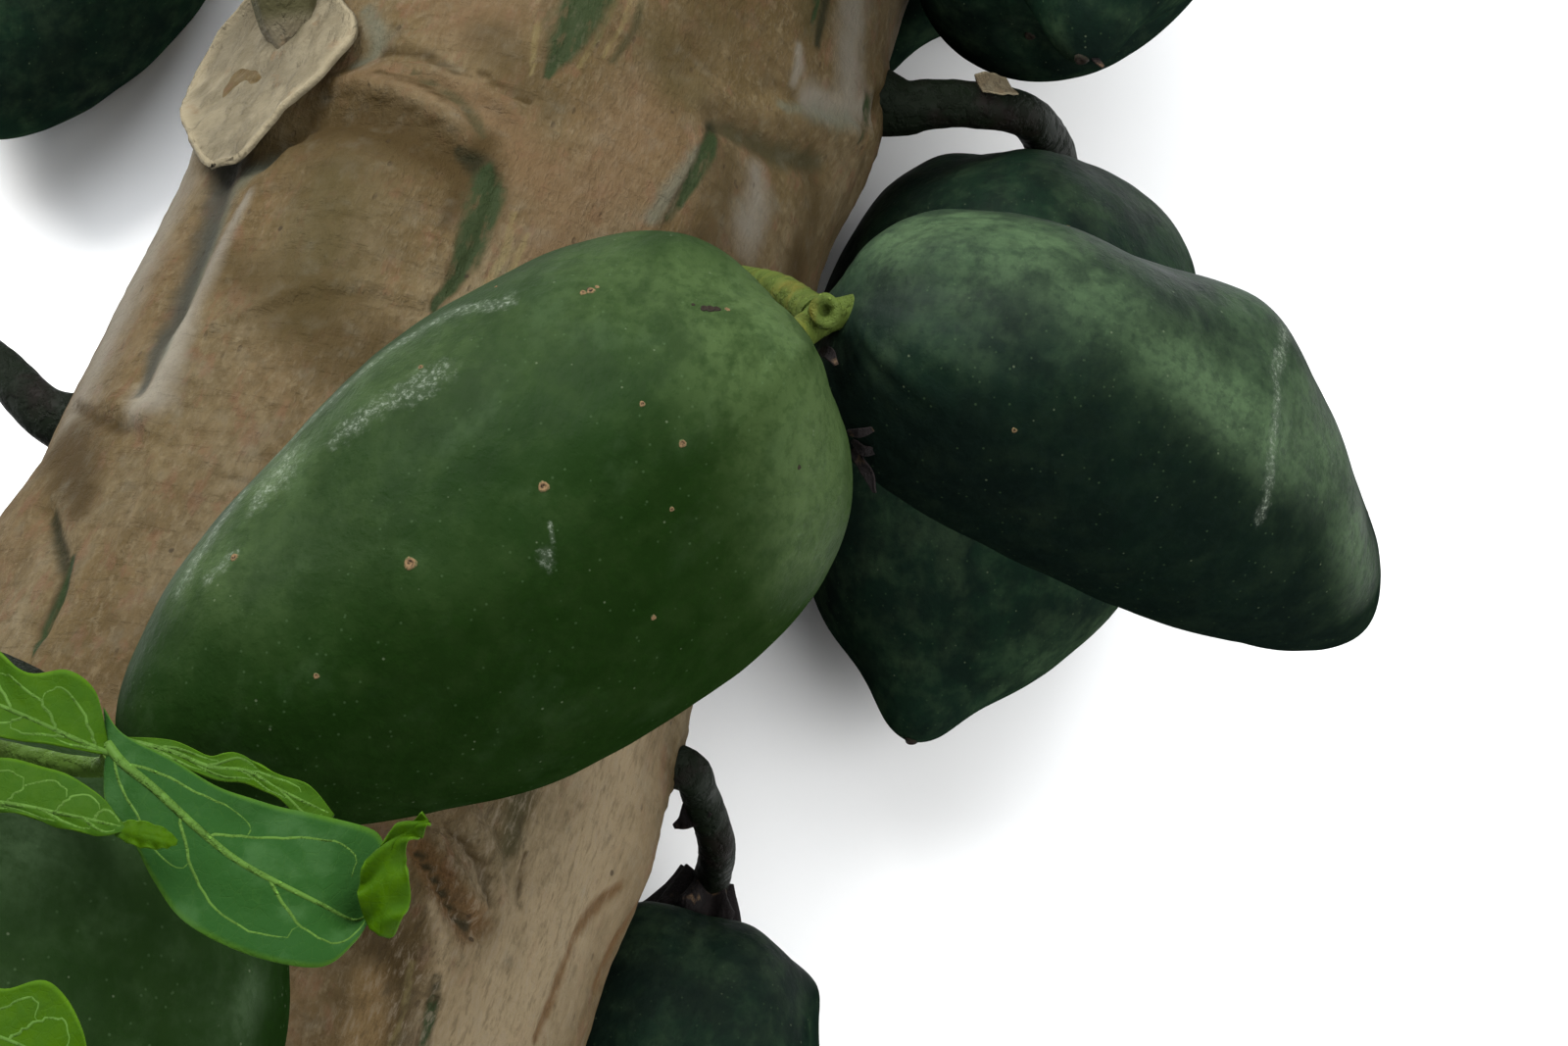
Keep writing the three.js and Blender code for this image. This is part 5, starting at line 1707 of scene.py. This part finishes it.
class PAWPAW_OT_stalks(bpy.types.Operator):
    """Grows the fruit stalks and the forked stalk along their arches"""

    bl_idname = "pawpaw.stalks"
    bl_label = "Stalks"

    def execute(self, context):
        settings = context.scene.pawpaw_stalk
        limbs = limb_tree()
        dark = stalk_material("stalk", settings.green, settings.brown, 0.42)
        light = stalk_material("fork stalk", (0.050, 0.072, 0.014), (0.085, 0.078, 0.014), 0.4)
        values = {
            "Sides": settings.sides, "Wrinkle": settings.wrinkle,
            "Wrinkle scale": 170.0, "Material": dark}
        for name, (fruit, root, arch, radii) in STALKS.items():
            ends = [neck_point(FRUITS[fruit], reach) for reach in (NECK_APPROACH, -NECK_OVERRUN)]
            points = [stem_point(*root[:2], -STALK_SUNK), stem_point(*root), *arch, *ends]
            line = curve_through(points, STALK_POINTS)
            thick = flared(line, limb_radii(radii, STALK_POINTS))
            item = line_object(f"{name}_skin", [(line, thick)])
            grow(item, limbs, values)
            dress(item, "stalk", name)
        fork = np.array(FORK_POINT, float)
        before = fork + (np.array(FORK_ARCH[-1]) - fork) * FORK_ARM_START
        main = curve_through([*rooted(FORK_ROOT), *FORK_ARCH, fork], MAIN_POINTS)
        lines = [(main, flared(main, limb_radii(FORK_RADII, MAIN_POINTS), 0.3, 0.12))]
        for fruit in ("fruit_front", "fruit_right"):
            end = neck_point(FRUITS[fruit], -NECK_OVERRUN)
            arm = curve_through([before, fork, (fork + end) / 2, end], ARM_POINTS)
            lines.append((arm, limb_radii(FORK_ARM_RADII, ARM_POINTS)))
        item = line_object("stalk_front_pair_skin", lines)
        fine = {"Wrinkle": settings.wrinkle * 0.7, "Wrinkle scale": 320.0, "Material": light}
        grow(item, limbs, {**values, **fine})
        dress(item, "stalk", "stalk_front_pair")
        self.cut_stub(light)
        return {"FINISHED"}

    def cut_stub(self, material):
        """The fork's third arm: a round stub with a rim round a small hole in its cut end."""
        fork, end = np.array(FORK_POINT, float), np.array(FORK_STUB_END, float)
        axis = unit(end - fork)
        out = unit(np.cross(axis, (1, 0, 0)))
        side = np.cross(axis, out)
        length = np.linalg.norm(end - fork)
        heights = [*FORK_STUB_LOW, *(length - short for short in FORK_STUB_SHORT)]
        radii = np.array(FORK_STUB_SHARES) * FORK_STUB_RADIUS
        turn = turns(FORK_STUB_AROUND)
        spoke = spokes(turn, out, side)
        uneven = 1 + 0.05 * np.sin(2 * turn + 0.6) + 0.03 * np.sin(5 * turn)
        rings = np.stack([fork + axis * h + spoke * (r * uneven)[:, None] for h, r in zip(heights, radii)])
        dress(make_object("fork_stub", [ring_shape(rings)], [material]), "stalk")


class PAWPAW_OT_leaf_base(bpy.types.Operator):
    """Dries the old leaf base: a wrinkled shield, its stub and scraps of calyx"""

    bl_idname = "pawpaw.leaf_base"
    bl_label = "Dried leaf base"

    def execute(self, context):
        settings = context.scene.pawpaw_leaf
        y, left, right = through(BASE_STATIONS, BASE_ROWS).T[..., None]
        along = (y - y[0]) / (y[-1] - y[0])
        across = np.linspace(-1, 1, BASE_ACROSS)[None]
        angle = BASE_MIDDLE + np.where(across < 0, BASE_MIDDLE - left, right - BASE_MIDDLE) * across
        y, angle = np.broadcast_arrays(y, angle)
        edge = np.maximum(np.abs(across), np.clip(1 - along * 9, 0, 1))
        hollow = np.exp(-((across / 0.5) ** 2)) * np.clip(along * 3, 0, 1)
        lift = BASE_LIFT * (1 - along) ** 2 + 1.6 + 1.5 * edge**5 - 1.4 * hollow
        lift = lift + BASE_STAND_OFF * np.clip(along * 3.7, 0, 1) * np.clip(-across, 0, 1) ** 2
        flat = np.stack([angle * 1.7, y, 0 * y], -1)
        wrinkles = 1.2 * rough(flat * (1, 0.5, 1), 7, 2) + 0.8 * rough(flat, 4, 5)
        wrinkles += 1.6 * rough(flat, 15, 7)
        surface = stem_point(y, angle, lift + wrinkles * (1 - 0.4 * edge) + 0.8)
        # Dark olive under the stub, partly painted shade
        moss = np.exp(-(((across - 0.1) / 0.3) ** 2)) * np.clip((along - 0.5) / 0.16, 0, 1)
        shapes = [plate_shape(surface, BASE_THICKNESS, {"rim": edge, "moss": moss})]
        shapes.append(self.stub())
        dried = dried_material("dried leaf base", settings.dried, (0.062, 0.050, 0.028))
        dress(make_object("dried_leaf_base_skin", shapes, [dried]), "dried_base", "dried_leaf_base")
        self.scraps(context)
        return {"FINISHED"}

    def stub(self):
        """The leaf stalk's stub, ribbed, rising out of the shield and hollow at its torn end."""
        low = stem_point(*BASE_STUB_LOW)
        outward = stem_point(*BASE_STUB_LOW[:2], 1) - stem_point(*BASE_STUB_LOW[:2], 0)
        run = unit(np.array((0, 1, 0)) + outward * BASE_STUB_LEAN)
        side = np.cross(run, outward)
        out = np.cross(side, run)
        foot = [stem_point(*place) for place in BASE_STUB_FOOT]
        points = np.array(foot + [low + run * height for height in BASE_STUB_HEIGHTS])
        stops = run_lengths(points)
        line = curve_through(points, BASE_STUB_ROWS)
        place = np.linspace(0, 1, BASE_STUB_ROWS)
        radii = np.interp(place * stops[-1], stops, BASE_STUB_RADII)
        depth, narrow = np.array(BASE_STUB_HOLLOW).T
        line = np.concatenate([line, line[-1] - run * depth[:, None]])
        radii = np.concatenate([radii, radii[-1] * narrow])
        place = np.concatenate([place, np.ones(len(depth))])
        turn = turns(BASE_STUB_AROUND)
        spoke = spokes(turn, out, side)
        ribs = 1 + 0.035 * np.cos(9 * turn) + 0.03 * np.sin(4 * turn + 1)
        torn = 2.2 * rough(spokes(turn, np.array((2, 0, 0)), np.array((0, 2, 0))), 1, 3)
        rings = line[:, None] + spoke * (radii[:, None] * ribs)[..., None]
        rings += run * (torn * place[:, None] ** 8)[..., None]
        # The stub is dark olive, partly painted shade
        moss = np.clip(place * 9 - 1.2, 0.2, 1) * np.clip(1.3 - place, 0, 1)
        return ring_shape(rings, {"moss": moss[:, None], "rim": 0})

    def calyx(self, fruit, height, spread, lean, seed):
        """The dried calyx round a stalk's end: a ragged skirt that lies on the fruit."""
        axis, out, side = fruit_axes(fruit)[1:4]
        turn = turns(CALYX_AROUND)
        spoke = spokes(turn, out, side)
        uneven = rough(spoke * 2, 1, seed) - lean * spoke[:, 0]
        lobes = 0.5 + 0.5 * np.cos(FRUIT_LOBES * turn + seed)
        foot = neck_point(fruit, 0)
        rings = []
        for share, width in CALYX_RINGS:
            open_share = max(0.0, width - 0.6) / 0.4
            radius = spread * width * (1 - open_share * (0.24 - 0.24 * lobes) + (0.14 + lean) * uneven)
            dimple = NECK_DIMPLE_DEPTH * (1 - np.exp(-((radius / NECK_DIMPLE_RADIUS) ** 2)))
            lift = height * share * (1 + 0.4 * uneven) + dimple
            rings.append(foot - axis * (lift + 0.3)[:, None] + spoke * radius[:, None])
        return ring_shape(np.stack(rings), {"rim": 0, "moss": 0})

    def scraps(self, context):
        settings = context.scene.pawpaw_leaf
        shapes = [self.calyx(FRUITS[name], *sizes, number) for number, (name, *sizes) in enumerate(CALYXES)]
        for number, (points, widths, facing) in enumerate((*SCRAPS, STALK_SCAR)):
            line = curve_through(points, SCRAP_ROWS)
            run = np.gradient(line, axis=0)
            side = unit(np.cross(run, facing))
            half = 0.5 * through(np.array(widths, float)[:, None], SCRAP_ROWS)[:, 0]
            across = np.linspace(-1, 1, SCRAP_ACROSS)
            grid = line[:, None] + side[:, None] * (half[:, None] * across)[..., None]
            grid += unit(facing) * (0.25 * half[:, None] * across**2)[..., None]
            grid += unit(facing) * 0.7 * rough(grid, 3, number)[..., None]
            shapes.append(plate_shape(grid, 0.5, {"rim": np.abs(across)[None]}))
        dry = dried_material("dry calyx", (0.007, 0.005, 0.005), (0.003, 0.0024, 0.0024))
        dress(make_object("dry_calyx", shapes[:-1], [dry]), "dried_base")
        scar = dried_material("stalk scar", settings.dried, (0.07, 0.05, 0.028))
        dress(make_object("stalk_scar", shapes[-1:], [scar]), "dried_base")


def lobe_surface(lobe, rows, across):
    """The middle surface of a leaf lobe at the given rows, for places across from -1 to 1."""
    run = through(lobe["stations"], rows)
    rib, upper, lower = run[:, :3], run[:, 3:5], run[:, 5:7]
    across = np.asarray(across, float)[None]
    grid = np.repeat(rib[:, None], across.shape[1], 1)
    for edge, part in ((upper, np.clip(across, 0, 1)), (lower, np.clip(-across, 0, 1))):
        grid[..., :2] += (edge - rib[:, :2])[:, None] * part[..., None]
    away = np.hypot(*(grid[..., :2] - rib[:, None, :2]).transpose(2, 0, 1))
    place = np.linspace(0, 1, rows)[:, None]
    grid[..., 2] += lobe["cup"] * away * np.abs(across) ** 0.6
    grid[..., 2] += 0.5 * across**2 * np.sin(place * 31 + np.sign(across)) * np.sin(place * math.pi)
    grid[..., 2] += lobe.get("ruffle", 0) * np.sin(place * 24 + 2.2 * across) * np.abs(across) ** 0.7
    for spot, span, depth in lobe.get("hollows", ()):
        grid[..., 2] -= depth * np.exp(-(((place - spot) / 0.1) ** 2) - ((across - span) / 0.35) ** 2)
    veins = max(lobe["veins"], 1)
    quilt = np.cos((place * veins - 0.5 * np.abs(across)) * 2 * math.pi)
    grid[..., 2] -= 0.28 * quilt * np.sin(np.abs(across) * math.pi) * np.sin(place * math.pi)
    return grid


def lobe_veins(lobe):
    """The rib and the looped side veins of a lobe, as lines with radii."""
    grid = lobe_surface(lobe, LOBE_ROWS, np.linspace(-1, 1, 2 * VEIN_GRID + 1))
    end = int(LOBE_ROWS * RIB_REACH)
    lines = [(grid[:end, VEIN_GRID], np.linspace(lobe.get("rib", 0.62), 0.3, end))]
    count = lobe["veins"]
    step = VEIN_REACH / count
    run, spans = np.array(VEIN_LOOP).T
    for number in range(count):
        for side, later in ((-1, 0), (1, 0.3)):
            places = VEIN_START + VEIN_REACH * number / count + later * step + step * run
            if places[-1] < 0.97:
                place, span = through(np.stack([places, side * spans], 1), VEIN_POINTS).T
                row = np.clip(place * (LOBE_ROWS - 1), 0, LOBE_ROWS - 1)
                spots = np.rint([row, (span + 1) * VEIN_GRID]).astype(int)
                line = curve_through(grid[tuple(spots)], VEIN_POINTS)
                lines.append((line, np.linspace(0.42, 0.28, VEIN_POINTS)))
    return lines


class PAWPAW_OT_leaves(bpy.types.Operator):
    """Opens the young shoot's leaves, with their ribs and veins, on their stalks"""

    bl_idname = "pawpaw.leaves"
    bl_label = "Leaves"

    def execute(self, context):
        settings = context.scene.pawpaw_leaf
        limbs = limb_tree()
        blade = leaf_material(settings)
        vein = stalk_material("leaf vein", settings.vein, dimmed(settings.vein, 0.8), 0.3)
        green = stalk_material("young stem", (0.07, 0.13, 0.02), (0.06, 0.08, 0.02), 0.4)
        across = np.linspace(-1, 1, LOBE_ACROSS)
        for name, lobes in LOBES.items():
            shapes, lines = [], []
            for lobe in lobes:
                fields = {"tone": lobe["tone"], "rim": np.abs(across)[None]}
                shapes.append(plate_shape(lobe_surface(lobe, LOBE_ROWS, across), LEAF_THICKNESS, fields))
                if lobe["veins"]:
                    lines += lobe_veins(lobe)
            dress(make_object(f"{name}_blade", shapes, [blade]), "leaf", name)
            veins = line_object(f"{name}_veins", lines)
            grow(veins, limbs, {"Sides": 8, "Wrinkle": 0.0, "Material": vein})
            dress(veins, "leaf")
        arch = [np.array(p, float) for p in SHOOT_ARCH]
        main = curve_through([*rooted(SHOOT_ROOT), *arch], MAIN_POINTS)
        lines = [(main, flared(main, limb_radii(SHOOT_RADII, MAIN_POINTS), 0.35, 0.1))]
        node = arch[-1]
        before = node + (arch[-2] - node) * 0.1
        for joint in np.array(list(LEAF_JOINTS.values()), float):
            below = joint + (-LEAF_STALK_LEAN, 0, -LEAF_STALK_DROP)
            points = [before, node, (node + below) / 2, below, joint]
            line = curve_through(points, LEAF_STALK_POINTS)
            lines.append((line, limb_radii(LEAF_STALK_RADII, LEAF_STALK_POINTS)))
        shoot = line_object("young_shoot_skin", lines)
        grow(shoot, limbs, {"Sides": 20, "Wrinkle": 0.0005, "Wrinkle scale": 240.0, "Material": green})
        dress(shoot, "young_stem", "young_shoot")
        return {"FINISHED"}


class PAWPAW_OT_stage(bpy.types.Operator):
    """Sets the floor, the light and the camera"""

    bl_idname = "pawpaw.stage"
    bl_label = "Stage"

    def execute(self, context):
        settings = context.scene.pawpaw_stage
        mesh = bpy.data.meshes.new("floor")
        corners = [(x * FLOOR_REACH, y * FLOOR_REACH, 0) for x, y in ((-1, -1), (1, -1), (1, 1), (-1, 1))]
        mesh.from_pydata(corners, [], [(0, 1, 2, 3)])
        material, tree, shader, coords = new_material("floor")
        white = settings.floor_colour
        colour = tree.mix(tree.noise(coords, 3.0), white, dimmed(white, 0.985))
        finish_material(tree, shader, colour, 0.9, 0.1)
        mesh.materials.append(material)
        add_item("floor", mesh)
        world = bpy.data.worlds.new("soft sky")
        world.use_nodes = True
        sky = world.node_tree.nodes["Background"]
        sky.inputs["Color"].default_value = (0.93, 0.96, 1.0, 1)
        sky.inputs["Strength"].default_value = settings.sky
        context.scene.world = world
        context.scene.view_settings.view_transform = "Standard"
        for name, (place, size, colour) in LIGHTS.items():
            lamp = bpy.data.lights.new(name, "AREA")
            lamp.size = size
            lamp.energy = getattr(settings, f"{name}_power")
            lamp.color = colour
            item = add_item(name, lamp)
            item.location = place
            aim = Vector(LIGHT_AIM) - Vector(place)
            item.rotation_euler = aim.to_track_quat("-Z", "Y").to_euler()
        self.camera(context)
        return {"FINISHED"}

    def camera(self, context):
        heading, down = math.radians(CAMERA_HEADING), math.radians(CAMERA_DOWN)
        level = math.cos(down)
        ahead = Vector((math.sin(heading) * level, math.cos(heading) * level, -math.sin(down)))
        right = Vector((math.cos(heading), -math.sin(heading), 0))
        up = right.cross(ahead)
        data = bpy.data.cameras.new("camera")
        data.lens = CAMERA_LENS
        data.sensor_width = CAMERA_SENSOR
        data.clip_start = 0.01
        item = add_item("camera", data)
        turn = Matrix((right, up, -ahead)).transposed().to_4x4()
        item.matrix_world = Matrix.Translation(to_row(CAMERA_PLACE)) @ turn
        context.scene.camera = item


class PAWPAW_PT_panel(bpy.types.Panel):
    """Lists the pieces that can be made"""

    bl_idname = "PAWPAW_PT_panel"
    bl_label = "Pawpaw Stem"
    bl_space_type = "VIEW_3D"
    bl_region_type = "UI"
    bl_category = "Pawpaw"

    def draw(self, context):
        for name, group in SETTINGS.items():
            box = self.layout.box()
            for key in group.__annotations__:
                box.prop(getattr(context.scene, name), key)
        for operator in PIECES:
            self.layout.operator(operator.bl_idname)


SETTINGS = {
    "pawpaw_stem": StemSettings,
    "pawpaw_fruit": FruitSettings,
    "pawpaw_stalk": StalkSettings,
    "pawpaw_leaf": LeafSettings,
    "pawpaw_stage": StageSettings,
}
PIECES = (
    PAWPAW_OT_stage,
    PAWPAW_OT_bark,
    PAWPAW_OT_fruits,
    PAWPAW_OT_spots,
    PAWPAW_OT_stalks,
    PAWPAW_OT_leaf_base,
    PAWPAW_OT_leaves,
)


def register():
    for group in SETTINGS.values():
        bpy.utils.register_class(group)
    for name, group in SETTINGS.items():
        setattr(bpy.types.Scene, name, bpy.props.PointerProperty(type=group))
    for item in (*PIECES, PAWPAW_PT_panel):
        bpy.utils.register_class(item)


def unregister():
    for item in (PAWPAW_PT_panel, *reversed(PIECES)):
        bpy.utils.unregister_class(item)
    for name in SETTINGS:
        delattr(bpy.types.Scene, name)
    for group in reversed(SETTINGS.values()):
        bpy.utils.unregister_class(group)


def main():
    register()
    bpy.ops.pawpaw.stage()
    bpy.ops.pawpaw.bark()
    bpy.ops.pawpaw.fruits()
    bpy.ops.pawpaw.spots()
    bpy.ops.pawpaw.stalks()
    bpy.ops.pawpaw.leaf_base()
    bpy.ops.pawpaw.leaves()
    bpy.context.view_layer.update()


if __name__ == "__main__":
    main()
